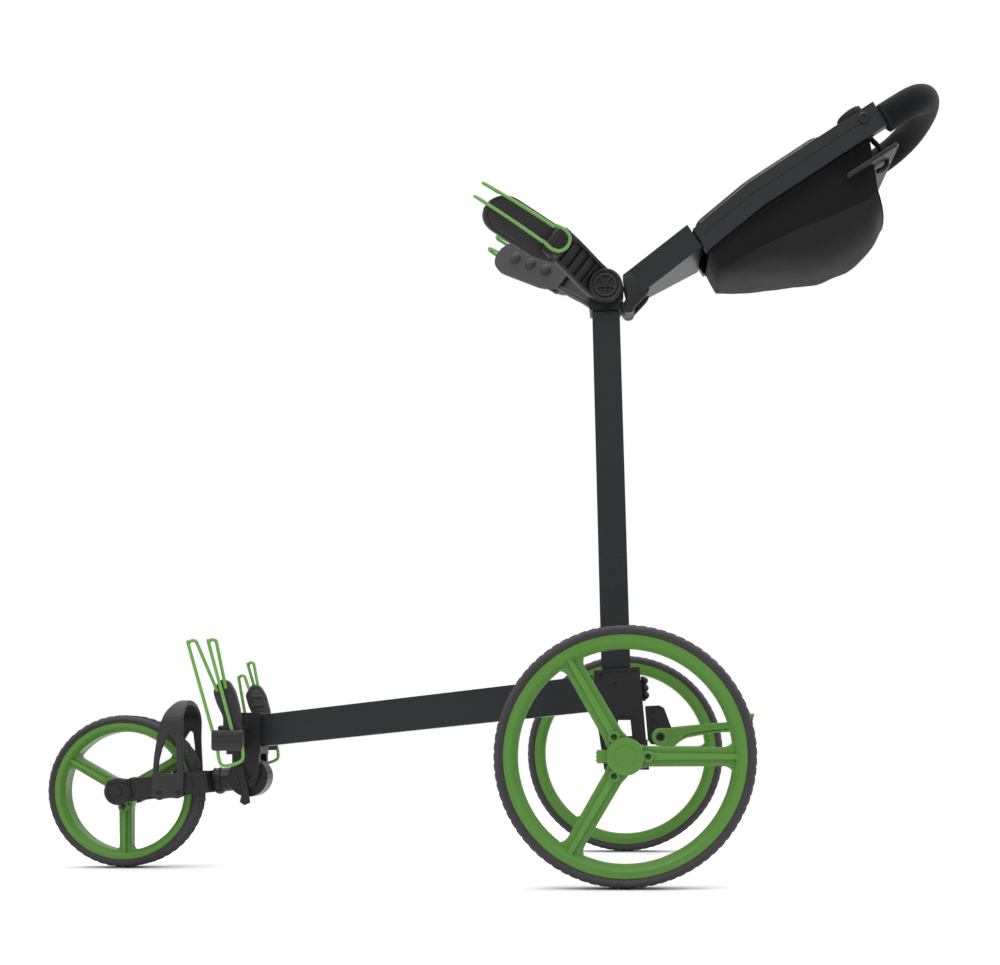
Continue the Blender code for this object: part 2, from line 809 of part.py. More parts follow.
def lower_cradle(side, word):
    """An arm with an upright finger, a buckle on its end and the buckle's cord."""
    arm = plan(
        f"lower_cradle_arm_{word}",
        [
            (-0.5150, side * 0.0244),
            (-0.4900, side * 0.0244),
            (-0.4930, side * 0.0600),
            (-0.4910, side * 0.0900),
            (-0.5150, side * 0.0900),
            (-0.5140, side * 0.0600),
        ],
        0.1570,
        0.1850,
    )
    finger = slab(
        f"lower_finger_{word}",
        [
            (-0.5170, 0.1600),
            (-0.4885, 0.1600),
            (-0.4880, 0.2050),
            (-0.4960, 0.2380),
            (-0.5060, 0.2430),
            (-0.5165, 0.2320),
        ],
        *sorted((side * 0.0780, side * 0.0900)),
        tool=True,
    )
    join(arm, finger)
    block(
        f"lower_buckle_{word}",
        *corners((-0.5180, side * 0.0905, 0.1520), (-0.4780, side * 0.1035, 0.1800)),
        edge=0.002,
    )
    (ax, az), (bx, bz) = LOWER_CORD_TIPS[word]
    loop = [
        (-0.5185, side * 0.0925, 0.2260),
        (ax + 0.002, side * 0.0955, az - 0.012),
        (ax, side * 0.1010, az),
        (ax + 0.003, side * 0.1055, az - 0.014),
        (-0.5200, side * 0.1070, 0.1790),
        (-0.5140, side * 0.1070, 0.1500),
        (-0.5040, side * 0.1070, 0.1350),
        (-0.4870, side * 0.1070, 0.1370),
        (-0.4800, side * 0.1070, 0.1550),
        (-0.4935, side * 0.1070, 0.1870),
        (bx + 0.004, side * 0.1055, bz - 0.014),
        (bx, side * 0.1010, bz),
        (bx + 0.002, side * 0.0955, bz - 0.012),
        (-0.5060, side * 0.0925, 0.2420),
    ]
    wire(f"lower_cord_{word}", smooth(loop, 3), 0.0024, GROUND, CORD_GREEN)


PAD_TILT = 10.0  # the pads' noses dip this far below the arms


def cradle_side(side, word):
    """An upper arm with its hinge disc, pad, buckle and cord."""
    arm = plan(
        f"cradle_arm_{word}",
        [
            (0.0000, side * 0.0228),
            (0.0230, side * 0.0228),
            (0.0600, side * 0.0520),
            (0.1640, side * 0.0980),
            (0.1600, side * 0.1060),
            (0.0520, side * 0.0640),
            (0.0180, side * 0.0370),
            (0.0000, side * 0.0370),
        ],
        -0.0180,
        0.0215,
        CRADLE,
    )
    hub = rod(
        f"cradle_hub_{word}",
        (0, side * 0.0228, 0),
        (0, side * 0.0370, 0),
        0.0220,
        CRADLE,
        tool=True,
        sides=28,
    )
    lean = math.atan2(0.046, 0.104)
    arm_frame = CRADLE @ Matrix.Translation((0.108, side * 0.0687, 0.0165))
    arm_frame = arm_frame @ Matrix.Rotation(side * lean, 4, "Z")
    pad_frame = arm_frame @ Matrix.Rotation(-math.radians(PAD_TILT), 4, "Y")
    stud = rod(
        f"cradle_stud_{word}",
        (-0.032, side * 0.0100, -0.0135),
        (-0.032, side * 0.0245, -0.0135),
        0.0060,
        arm_frame,
        tool=True,
        sides=12,
    )
    bore = cross_rod(f"cradle_bore_{word}", (0, 0), 0.05, CRADLE_BOLT_R + GAP, CRADLE, tool=True)
    cut(join(arm, hub, stud), bore)
    pad = slab(
        f"cradle_pad_{word}",
        [
            (-0.0380, -0.0240),
            (0.0400, -0.0240),
            (0.0540, -0.0170),
            (0.0600, -0.0050),
            (0.0590, 0.0080),
            (0.0500, 0.0200),
            (0.0360, 0.0240),
            (-0.0340, 0.0240),
            (-0.0460, 0.0150),
            (-0.0500, 0.0000),
            (-0.0470, -0.0160),
        ],
        -0.0035,
        0.0035,
        pad_frame,
        PAD_RUBBER,
    )
    bumps = [
        turned(
            f"pad_bump_{word}_{i}",
            [(0, 0), (0.0075, 0), (0.0060, -side * 0.0075), (0, -side * 0.0085)],
            offset_frame(pad_frame, x=-0.026 + 0.029 * i),
            tool=True,
            steps=12,
        )
        for i in range(3)
    ]
    join(pad, *bumps)
    block(
        f"upper_buckle_{word}",
        *corners((-0.0460, side * 0.0250, -0.0285), (-0.0180, side * 0.0370, 0.0015)),
        arm_frame,
        edge=0.002,
    )
    loop = [
        (0.0860, 0.1080, -0.0030),
        (0.1400, 0.1095, 0.0040),
        (0.1830, 0.1085, 0.0100),
        (0.1895, 0.1010, 0.0120),
        (0.1800, 0.0930, 0.0135),
        (0.1690, 0.0905, 0.0160),
        (0.1690, 0.0905, 0.0230),
        (0.1800, 0.0930, 0.0265),
        (0.1895, 0.1010, 0.0290),
        (0.1830, 0.1085, 0.0290),
        (0.1400, 0.1095, 0.0245),
        (0.0860, 0.1080, 0.0205),
        (0.0660, 0.1050, 0.0170),
        (0.0570, 0.1030, 0.0050),
        (0.0640, 0.1040, -0.0090),
        (0.0760, 0.1060, -0.0100),
    ]
    places = smooth([(x, side * y, z) for x, y, z in loop], 3)
    wire(f"upper_cord_{word}", places, 0.0022, CRADLE, CORD_GREEN)


# Handle, console, grip and bag.


KNOB_PLACE = (0.3600, -0.0700)
KNOB_STEM_R = 0.0040
RAIL_OUTER = [(0.1180, 0.0560), (0.2000, 0.0985), (0.3850, 0.1000)]
RAIL_INNER = [(0.3850, 0.0860), (0.2050, 0.0840), (0.1180, 0.0420)]


def both_sides(points):
    """A plan outline made from its right half."""
    return [*[(x, -y) for x, y in points], *reversed(points)]


def handle_parts():
    neck = plan(
        "handle_neck",
        both_sides([(0.0165, 0.0175), (0.0400, 0.0260), (0.1155, 0.0540)]),
        0.0050,
        0.0390,
        HANDLE,
        ALUMINIUM,
    )
    inside = both_sides([(0.0450, 0.0240), (0.1300, 0.0560)])
    hollow = plan("neck_hollow", inside, 0.0085, 0.0355, HANDLE, tool=True)
    ears = [
        slab(
            f"neck_ear_{word}",
            [*arc(0, 0, 0.0085, 130, 280, 7), (0.0260, 0.0065), (0.0260, 0.0200), (0.0167, 0.0160)],
            *sorted((side * 0.0135, side * 0.0200)),
            HANDLE,
            tool=True,
        )
        for side, word in SIDES
    ]
    bore = cross_rod("neck_bore", (0, 0), 0.03, HANDLE_PIN_R + GAP, HANDLE, tool=True)
    cut(join(cut(neck, hollow), *ears), bore)
    cross_rod("handle_pivot_pin", (0, 0), 0.0225, HANDLE_PIN_R, HANDLE)
    for side, word in SIDES:
        handle_rail(side, word)
    console()
    grip()
    storage_bag()


def handle_rail(side, word):
    rail = plan(
        f"handle_rail_{word}",
        [(x, side * y) for x, y in (*RAIL_OUTER, *RAIL_INNER)],
        -0.0040,
        0.0160,
        HANDLE,
        ALUMINIUM,
    )
    tenon = plan(
        f"rail_tenon_{word}",
        [
            (0.0950, side * 0.0340),
            (0.0950, side * 0.0410),
            (0.1300, side * 0.0540),
            (0.1300, side * 0.0460),
        ],
        0.0092,
        0.0150,
        HANDLE,
        tool=True,
    )
    bore = rod(
        f"rail_bore_{word}",
        (0.3450, side * GRIP_Y, GRIP_Z),
        (0.3950, side * GRIP_Y, GRIP_Z),
        GRIP_TUBE_R + GAP,
        HANDLE,
        tool=True,
        sides=12,
    )
    return cut(join(rail, tenon), bore)


def console():
    """The moulded tray on the rails, with a hinged lid over its lower part."""
    tray = plan("console_tray", both_sides(RAIL_OUTER), 0.0164, 0.0300, HANDLE, GREY_PLASTIC)
    inside = both_sides([(0.1400, 0.0500), (0.2000, 0.0810), (0.2950, 0.0830)])
    well = plan("tray_well", inside, 0.0190, 0.0500, HANDLE, tool=True)
    x, y = KNOB_PLACE
    boss = rod("tray_boss", (x, y, 0.0250), (x, y, 0.0340), 0.0120, HANDLE, tool=True)
    bore = rod(
        "tray_knob_bore",
        (x, y, 0.0190),
        (x, y, 0.0500),
        KNOB_STEM_R + GAP,
        HANDLE,
        tool=True,
        sides=12,
    )
    cut(join(tray, boss), well, bore)
    lid = both_sides([(0.1250, 0.0575), (0.2000, 0.0950), (0.3040, 0.0960)])
    plan("console_lid", lid, 0.0304, 0.0355, HANDLE, GREY_PLASTIC)
    return turned(
        "accessory_knob",
        [
            (0, 0.0140),
            (KNOB_STEM_R, 0.0140),
            (KNOB_STEM_R, -0.0004),
            (0.0165, -0.0004),
            (0.0165, -0.0060),
            (0.0130, -0.0080),
            (0, -0.0080),
        ],
        offset_frame(HANDLE, x=x, y=y, z=0.0340) @ Matrix.Rotation(-math.pi / 2, 4, "X"),
        steps=24,
    )


GRIP_Y = 0.0930
GRIP_Z = 0.0060
GRIP_REACH = 0.4655
GRIP_BEND = 0.058
GRIP_TUBE_R = 0.0055


def grip_path(start):
    """The U that the grip follows: out of one rail, round and back into the other."""
    straight = GRIP_REACH - GRIP_BEND
    points = [(start, -GRIP_Y, GRIP_Z)]
    for i in range(17):
        turn = math.pi * i / 16
        reach = straight + GRIP_BEND * math.sin(turn) ** 0.8
        points.append((reach, -GRIP_Y * math.cos(turn), GRIP_Z))
    return [*points, (start, GRIP_Y, GRIP_Z)]


def grip():
    wire("grip_tube", grip_path(0.3500), GRIP_TUBE_R, HANDLE, STEEL, resolution=2)
    foam = wire("grip_foam", grip_path(0.3870), 0.0185, HANDLE, FOAM, resolution=3)
    path = grip_path(0.3700)
    bore = wire("grip_foam_bore", path, GRIP_TUBE_R + GAP, HANDLE, FOAM, resolution=2)
    finish_object(bore, "grip_foam_bore", FOAM, True)
    return cut(foam, bore)


def storage_bag():
    """The net bag under the console, a simple closed solid with its true outer shape."""
    bag = slab(
        "storage_bag",
        [
            (0.1300, -0.0048),
            (0.3700, -0.0048),
            (0.3620, -0.0450),
            (0.3400, -0.0850),
            (0.2700, -0.0950),
            (0.2100, -0.0800),
            (0.1400, -0.0450),
        ],
        -0.0850,
        0.0850,
        HANDLE,
        FABRIC,
    )
    inside = both_sides([(0.1200, 0.0480), (0.2030, 0.0850), (0.3800, 0.0870)])
    between = plan("bag_plan", inside, -0.12, 0.01, HANDLE, tool=True)
    return boolean(bag, [between], "INTERSECT")


# Brake.


def brake_parts():
    """The housing behind the bracket and the pedal that turns in it."""
    bx, bz = BRAKE_PIVOT
    housing = slab(
        "brake_housing",
        [
            (0.0262, 0.2110),
            (0.0300, 0.1670),
            (0.0345, 0.1610),
            *arc(bx, bz, 0.0115, 240, 330, 4),
            (0.0600, 0.1830),
            (0.0505, 0.2085),
            (0.0440, 0.2120),
        ],
        -0.0240,
        0.0240,
    )
    slot = slab(
        "housing_slot",
        [(0.0320, 0.1500), (0.0320, 0.1870), (0.0800, 0.1900), (0.0800, 0.1500)],
        -0.0145,
        0.0145,
        tool=True,
    )
    bore = cross_rod("housing_bore", BRAKE_PIVOT, 0.04, PEDAL_TRUNNION_R + GAP, tool=True)
    cut(housing, slot, bore)
    pedal = slab(
        "brake_pedal",
        [
            *arc(bx, bz, 0.0112, 90, 285, 8),
            (0.0680, 0.1640),
            (0.0900, 0.1755),
            (0.1400, 0.1775),
            (0.1650, 0.1840),
            (0.1690, 0.2010),
            (0.1655, 0.2015),
            (0.1600, 0.1900),
            (0.1350, 0.1905),
            (0.0900, 0.1865),
        ],
        -0.0140,
        0.0140,
        paint=GREEN,
    )
    tread = block("pedal_tread", (0.1080, -0.0240, 0.1790), (0.1620, 0.0240, 0.1875), tool=True)
    trunnions = cross_rod("pedal_trunnions", BRAKE_PIVOT, 0.0260, PEDAL_TRUNNION_R, tool=True)
    join(pedal, tread, trunnions)


# Joints: every moving piece hangs from an empty on its joint's axis.


def hang(joint, place, pieces, parent=None):
    empty = bpy.data.objects.new("axis_" + joint, None)
    empty.empty_display_size = 0.02
    PARTS.objects.link(empty)
    empty.matrix_world = Matrix.Translation(place)
    bpy.context.view_layer.update()
    if parent:
        empty.parent = parent
        empty.matrix_parent_inverse = parent.matrix_world.inverted()
    for piece in pieces:
        obj = bpy.data.objects[piece]
        obj.parent = empty
        obj.matrix_parent_inverse = empty.matrix_world.inverted()
    return empty


def point(x, z, y=0.0):
    return Vector((AXLE_X + x, y, z))


def hang_everything():
    column = hang(
        "column_fold",
        point(*COLUMN_PIVOT),
        ["column_tube", "column_foot", "column_head"],
    )
    hang_cradle_and_handle(column)
    hang("fold_lever_pull", point(0.0235, 0.2190), ["fold_lever"])
    hang_front_wheel()
    hang("latch_pull", point(-0.5000, 0.1320), ["fork_latch"])
    hang("brake_press", point(*BRAKE_PIVOT), ["brake_pedal"])
    for side, word in SIDES:
        hang_rear_wheel(side, word)


def hang_cradle_and_handle(column):
    cradle = ["cradle_bolt"]
    for piece in ("cradle_arm", "cradle_pad", "upper_buckle", "upper_cord"):
        cradle += [f"{piece}_{word}" for _, word in SIDES]
    hang("cradle_fold", point(*HEAD_PIVOT), cradle, column)
    pieces = ["handle_neck", "handle_pivot_pin", "console_tray", "grip_tube", "grip_foam"]
    pieces += ["storage_bag", *[f"handle_rail_{word}" for _, word in SIDES]]
    handle = hang("handle_fold", point(*HANDLE_PIVOT), pieces, column)
    hang("lid_open", HANDLE @ Vector((0.1220, 0, 0.0330)), ["console_lid"], handle)
    hang("knob_turn", HANDLE @ Vector((*KNOB_PLACE, 0.0340)), ["accessory_knob"], handle)


def hang_front_wheel():
    fold = hang("fork_fold", point(*FORK_PIVOT), ["fork_knuckle"])
    hang("collar_twist", FORK @ Vector((0.0415, 0, 0)), ["roll_collar"], fold)
    fork = ["fork_crown", "fork_arch", "front_axle"]
    roll = hang("fork_roll", FORK @ Vector((0.0535, 0, 0)), fork, fold)
    wheel = ["front_rim", "front_tyre"]
    hang("front_wheel_spin", point(-WHEELBASE, FRONT_WHEEL_R), wheel, roll)


def hang_rear_wheel(side, word):
    swing_axis = point(0, AXLE_Z, side * ARM_PIN_Y)
    flip_axis = point(0, AXLE_Z, side * FLIP_PIN_Y)
    pin_axis = flip_axis + Vector((0, 0, BRAKE_PIN_RING))
    hub = point(0, AXLE_Z, side * REAR_WHEEL_Y)
    swing = hang(f"{word}_arm_swing", swing_axis, [f"wheel_arm_{word}"])
    flip = hang(f"{word}_wheel_flip", flip_axis, [f"wheel_carrier_{word}"], swing)
    hang(f"{word}_brake_pin", pin_axis, [f"brake_pin_{word}"], flip)
    wheel = [f"{piece}_{word}" for piece in ("rear_rim", "rear_tyre", "rear_bearing")]
    spin = hang(f"{word}_wheel_spin", hub, wheel, flip)
    tab = hub - Vector((0.02, 0, 0))
    hang(f"{word}_tab_push", tab, [f"release_tab_{word}"], spin)


def lower_tube():
    front, back = (0.0300, 0.0410), (0.0340, 0.0470)
    tube = taper("lower_tube", -0.460, 0.0, front, back, TUBE, ALUMINIUM)
    front, back = (0.0252, 0.0362), (0.0292, 0.0422)
    hollow = taper("tube_hollow", -0.470, 0.01, front, back, TUBE, tool=True)
    return cut(tube, hollow)


lower_tube()
rear_bracket()
column_parts()
fold_lever()
front_block()
cross_rod("knuckle_pin", (0, 0), 0.0215, KNUCKLE_PIN_R, FORK)
fork_parts()
brake_parts()
cross_rod("cradle_bolt", (0, 0), 0.0400, CRADLE_BOLT_R, HEAD)
for hand, label in SIDES:
    rear_side(hand, label)
    lower_cradle(hand, label)
    cradle_side(hand, label)
handle_parts()
hang_everything()
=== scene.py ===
"""Golf push trolley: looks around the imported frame, in metres and in the frame's own axes.

The front wheel is towards -X, the handle towards +X and the left side is -Y.
Side frames have x along a bar, y across the trolley and z square to the bar.
"""

import json
import math

import bmesh
import bpy
from mathutils import Matrix, Vector, noise


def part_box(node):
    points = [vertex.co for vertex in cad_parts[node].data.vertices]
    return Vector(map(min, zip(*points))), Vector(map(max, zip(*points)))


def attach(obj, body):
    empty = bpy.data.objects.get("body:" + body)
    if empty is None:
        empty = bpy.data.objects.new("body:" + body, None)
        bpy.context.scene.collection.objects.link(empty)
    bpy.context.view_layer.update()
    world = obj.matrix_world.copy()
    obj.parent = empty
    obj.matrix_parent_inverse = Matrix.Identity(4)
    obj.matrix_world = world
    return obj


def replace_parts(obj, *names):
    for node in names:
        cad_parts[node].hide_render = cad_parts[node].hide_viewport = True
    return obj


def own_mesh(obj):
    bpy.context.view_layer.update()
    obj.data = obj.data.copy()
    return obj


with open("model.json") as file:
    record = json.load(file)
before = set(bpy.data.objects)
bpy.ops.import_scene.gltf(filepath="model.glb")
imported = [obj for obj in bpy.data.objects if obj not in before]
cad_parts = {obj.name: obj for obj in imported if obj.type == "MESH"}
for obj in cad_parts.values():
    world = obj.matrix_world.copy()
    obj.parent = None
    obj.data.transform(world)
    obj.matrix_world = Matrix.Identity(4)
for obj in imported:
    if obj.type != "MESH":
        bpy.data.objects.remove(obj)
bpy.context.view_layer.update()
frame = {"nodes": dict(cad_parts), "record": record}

NODES = frame["nodes"]
JOINTS = {joint["name"]: joint for joint in frame["record"]["behaviour"]["joints"]}
SIDES = ((-1, "left"), (1, "right"))

HANDLE_ANGLE = 33.0
CRADLE_ANGLE = 142.0
TUBE_ANGLE = 6.4


def joint_place(name):
    return Vector(JOINTS[name]["pos_m"])


def side_frame(origin, angle):
    """A frame in a side plane, its x axis turned up from +X by the angle."""
    return Matrix.Translation(origin) @ Matrix.Rotation(-math.radians(angle), 4, "Y")


def moved(matrix, x=0.0, y=0.0, z=0.0):
    return matrix @ Matrix.Translation((x, y, z))


AXLE = Vector((joint_place("left_wheel_spin").x, 0, 0))
GROUND = Matrix.Translation(AXLE)
HANDLE = side_frame(joint_place("handle_fold"), HANDLE_ANGLE)
HEAD = side_frame(joint_place("cradle_fold"), 0)
CRADLE = side_frame(joint_place("cradle_fold"), CRADLE_ANGLE)
FORK_AXIS = JOINTS["fork_roll"]["axis"]
FORK_ANGLE = math.degrees(math.atan2(FORK_AXIS[2], FORK_AXIS[0]))
FORK = side_frame(joint_place("fork_fold"), FORK_ANGLE)
FORK_LENGTH = (joint_place("front_wheel_spin") - joint_place("fork_fold")).length


# Materials.


def node(tree, kind, **values):
    made = tree.nodes.new(kind)
    for key, value in values.items():
        if key in made.inputs:
            made.inputs[key].default_value = value
        else:
            setattr(made, key, value)
    return made


def ramp(tree, factor, low, high, start=0.0, end=1.0):
    made = node(tree, "ShaderNodeMapRange")
    tree.links.new(factor, made.inputs["Value"])
    for name, value in (("From Min", start), ("From Max", end), ("To Min", low), ("To Max", high)):
        made.inputs[name].default_value = value
    return made.outputs["Result"]


def mix_colour(tree, factor, a, b):
    made = node(tree, "ShaderNodeMix", data_type="RGBA")
    for socket, value in ((0, factor), (6, a), (7, b)):
        if isinstance(value, (tuple, float, int)):
            made.inputs[socket].default_value = value
        else:
            tree.links.new(value, made.inputs[socket])
    return made.outputs[2]


def base_material(name, roughness, metallic=0.0, specular=0.5, sheen=0.0):
    material = bpy.data.materials.new(name)
    material.use_nodes = True
    tree = material.node_tree
    shader = tree.nodes["Principled BSDF"]
    shader.inputs["Roughness"].default_value = roughness
    shader.inputs["Metallic"].default_value = metallic
    shader.inputs["Specular IOR Level"].default_value = specular
    shader.inputs["Sheen Weight"].default_value = sheen
    shader.inputs["Sheen Roughness"].default_value = 0.6
    place = node(tree, "ShaderNodeTexCoord").outputs["Object"]
    return material, tree, shader, place


def noise_at(tree, place, scale, detail=2.0, stretch=None):
    if stretch:
        mapping = node(tree, "ShaderNodeMapping")
        mapping.inputs["Scale"].default_value = stretch
        tree.links.new(place, mapping.inputs["Vector"])
        place = mapping.outputs["Vector"]
    made = node(tree, "ShaderNodeTexNoise", Scale=scale, Detail=detail)
    tree.links.new(place, made.inputs["Vector"])
    return made.outputs["Fac"]


def bump(tree, shader, height, strength, distance):
    made = node(tree, "ShaderNodeBump", Strength=strength, Distance=distance)
    tree.links.new(height, made.inputs["Height"])
    before = shader.inputs["Normal"].links
    if before:
        tree.links.new(before[0].from_socket, made.inputs["Normal"])
    tree.links.new(made.outputs["Normal"], shader.inputs["Normal"])


def moulded(name, colour, roughness, grain=0.00005, shift=0.12, metallic=0.0, specular=0.3):
    """A moulded or coated surface: fine grain, and a sheen and tint that vary a little."""
    material, tree, shader, place = base_material(name, roughness, metallic, specular)
    tint = tuple(channel * (1 + shift) for channel in colour)
    shade = tuple(channel * (1 - shift) for channel in colour)
    varied = mix_colour(tree, noise_at(tree, place, 18, 4), (*shade, 1), (*tint, 1))
    tree.links.new(varied, shader.inputs["Base Color"])
    sheen = ramp(tree, noise_at(tree, place, 120, 5), roughness - 0.1, roughness + 0.1)
    tree.links.new(sheen, shader.inputs["Roughness"])
    bump(tree, shader, noise_at(tree, place, 2200, 2), 0.4, grain)
    return material


def anodised(name, colour, roughness):
    """Black anodised tube: satin, with very fine lines along the extrusion."""
    material, tree, shader, place = base_material(name, roughness, 0.0, 0.32)
    lines = noise_at(tree, place, 320, 3, (0.03, 1.0, 1.0))
    dark = tuple(channel * 0.8 for channel in colour)
    pale = tuple(channel * 1.25 for channel in colour)
    varied = mix_colour(tree, noise_at(tree, place, 9, 4), (*dark, 1), (*pale, 1))
    tree.links.new(varied, shader.inputs["Base Color"])
    tree.links.new(ramp(tree, lines, roughness - 0.07, roughness + 0.09), shader.inputs["Roughness"])
    shader.inputs["Coat Weight"].default_value = 0.12
    shader.inputs["Coat Roughness"].default_value = 0.25
    bump(tree, shader, lines, 0.2, 0.00006)
    return material


def wave_at(tree, place, scale, direction, distortion=0.4):
    made = node(tree, "ShaderNodeTexWave", Scale=scale, Distortion=distortion, bands_direction=direction)
    made.inputs["Detail"].default_value = 1.0
    tree.links.new(place, made.inputs["Vector"])
    return made.outputs["Fac"]


def woven(name, colour, thread, depth, net=False):
    """Cloth: warp and weft crossing in the handle's own axes; a net's holes are painted near black, as
    painted shade seen through them.
    """
    material, tree, shader, place = base_material(name, 0.85, 0.0, 0.12, 0.06)
    turn = node(tree, "ShaderNodeMapping")
    turn.inputs["Rotation"].default_value = (0, math.radians(HANDLE_ANGLE), 0)
    tree.links.new(place, turn.inputs["Vector"])
    threads = turn.outputs["Vector"]
    warp = wave_at(tree, threads, 1 / thread, "X")
    weft = wave_at(tree, threads, 1 / thread, "Z")
    lay = node(tree, "ShaderNodeMath", operation="MAXIMUM")
    tree.links.new(warp, lay.inputs[0])
    tree.links.new(weft, lay.inputs[1])
    weave = lay.outputs["Value"]
    # For a net the gaps between threads are its holes, painted near black: painted shade seen through them.
    low = tuple(channel * (0.25 if net else 0.6) for channel in colour)
    cloth = mix_colour(tree, ramp(tree, weave, 0.0, 1.0, 0.25, 0.95), (*low, 1), (*colour, 1))
    faded = (*(channel * 1.35 for channel in colour), 1)
    worn = mix_colour(tree, ramp(tree, noise_at(tree, place, 25, 4), 0.0, 0.45), cloth, faded)
    tree.links.new(worn, shader.inputs["Base Color"])
    bump(tree, shader, weave, 0.6, depth)
    bump(tree, shader, noise_at(tree, place, 55, 3), 0.3, 0.0009)
    return material


def foam_material():
    """Closed-cell foam: matt and very dark, with a fine open texture."""
    material, tree, shader, place = base_material("foam_sleeve", 0.9, 0.0, 0.1, 0.05)
    cells = node(tree, "ShaderNodeTexVoronoi", Scale=1300)
    tree.links.new(place, cells.inputs["Vector"])
    cloud = noise_at(tree, place, 55, 4)
    varied = mix_colour(tree, cloud, (0.0022, 0.0026, 0.0032, 1), (0.0055, 0.006, 0.007, 1))
    tree.links.new(varied, shader.inputs["Base Color"])
    bump(tree, shader, cells.outputs["Distance"], 0.6, 0.0002)
    bump(tree, shader, cloud, 0.25, 0.0006)
    return material


def cord_material():
    """Elastic cord: a fine braided sheath with a soft shine."""
    material, tree, shader, place = base_material("elastic_cord", 0.42, 0.0, 0.4)
    braid = wave_at(tree, place, 800, "DIAGONAL", 0.8)
    varied = mix_colour(
        tree, ramp(tree, braid, 0.0, 1.0, 0.1, 0.9), (0.085, 0.24, 0.035, 1), (0.125, 0.32, 0.055, 1)
    )
    tree.links.new(varied, shader.inputs["Base Color"])
    bump(tree, shader, braid, 0.35, 0.0001)
    return material


TUBE = (anodised("anodised_tube", (0.0055, 0.0085, 0.0098), 0.34), "tube")
PLASTIC = (moulded("black_moulding", (0.0085, 0.0085, 0.0092), 0.42), "plastic")
SOFT_PLASTIC = (moulded("smoked_moulding", (0.0185, 0.0175, 0.0195), 0.5), "plastic")
CONSOLE = (moulded("console_moulding", (0.0125, 0.0128, 0.0132), 0.36), "grey_plastic")
# Near-black seam and groove lines; the same material also serves as painted shade in hollows below.
GLOSS = (moulded("seam_line_and_hollow_shade", (0.0035, 0.0035, 0.0038), 0.25, grain=0.00001), "grey_plastic")
# Painted shade: the near-black material set into slots, a hole and notches, where those hollows are in
# shade.
HOLLOW_SHADE = (GLOSS[0], "plastic")
# Painted highlight: a pale grey, half metallic colour for the thin line along the lid's edge.
PAINTED_HIGHLIGHT = (moulded("painted_highlight_line", (0.16, 0.165, 0.17), 0.25, grain=0.00001, metallic=0.5), "grey_plastic")
GREEN = (moulded("green_moulding", (0.062, 0.175, 0.022), 0.4, shift=0.06, specular=0.35), "green")
# A lighter copy of the green for raised ribs, ridges, bars and bosses: painted highlight.
LIT_GREEN = (moulded("green_lit_copy", (0.07, 0.19, 0.026), 0.38, shift=0.06, specular=0.35), "green")
TYRE = (moulded("tyre_rubber", (0.034, 0.031, 0.034), 0.7, grain=0.00015, shift=0.2, specular=0.25), "tyre")
TREAD = (moulded("tyre_tread", (0.022, 0.021, 0.022), 0.85, grain=0.0002, shift=0.2, specular=0.2), "tyre")
PAD = (moulded("pad_rubber", (0.034, 0.033, 0.035), 0.62, grain=0.0001), "pad")
STEEL = (moulded("blackened_steel", (0.03, 0.03, 0.032), 0.3, metallic=0.8), "steel")
FABRIC = (woven("bag_fabric", (0.0042, 0.0042, 0.0042), 0.0016, 0.00012), "fabric")
NET = (woven("bag_net", (0.0135, 0.0132, 0.0132), 0.0021, 0.00035, net=True), "fabric")
FOAM = (foam_material(), "foam")
CORD = (cord_material(), "cord")

NODE_LOOKS = {
    "aluminium": TUBE, "matte_plastic": PLASTIC, "rubber": PAD, "tyre": TYRE, "brushed_steel": STEEL,
    "fabric": FABRIC
}


# Mesh helpers.


def finish_piece(obj, body, look, smooth_angle=38):
    """Gives the piece its look's material, and the body it rides."""
    material, slot = look
    if material is not None:
        obj.data.materials.clear()
        obj.data.materials.append(material)
    if smooth_angle:
        obj.data.shade_smooth()
        obj.data.set_sharp_from_angle(angle=math.radians(smooth_angle))
    bpy.context.view_layer.update()
    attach(obj, body)
    return obj


def piece(name, bm, matrix, body, look, smooth_angle=38):
    bmesh.ops.remove_doubles(bm, verts=bm.verts, dist=0.000002)
    bmesh.ops.recalc_face_normals(bm, faces=bm.faces)
    mesh = bpy.data.meshes.new(name)
    bm.to_mesh(mesh)
    bm.free()
    mesh.transform(matrix)
    obj = bpy.data.objects.new(name, mesh)
    bpy.context.scene.collection.objects.link(obj)
    return finish_piece(obj, body, look, smooth_angle)


def bevelled(obj, width, segments=2, angle=32):
    step = obj.modifiers.new("edges", "BEVEL")
    step.width = width
    step.segments = segments
    step.limit_method = "ANGLE"
    step.angle_limit = math.radians(angle)
    step.harden_normals = False
    return obj


def curve_mesh(name, curve):
    """The curve as a bmesh."""
    holder = bpy.data.objects.new(name + "_curve", curve)
    bpy.context.scene.collection.objects.link(holder)
    bpy.context.view_layer.update()
    graph = bpy.context.evaluated_depsgraph_get()
    mesh = bpy.data.meshes.new_from_object(holder.evaluated_get(graph))
    bpy.data.objects.remove(holder, do_unlink=True)
    bm = bmesh.new()
    bm.from_mesh(mesh)
    bpy.data.meshes.remove(mesh)
    return bm


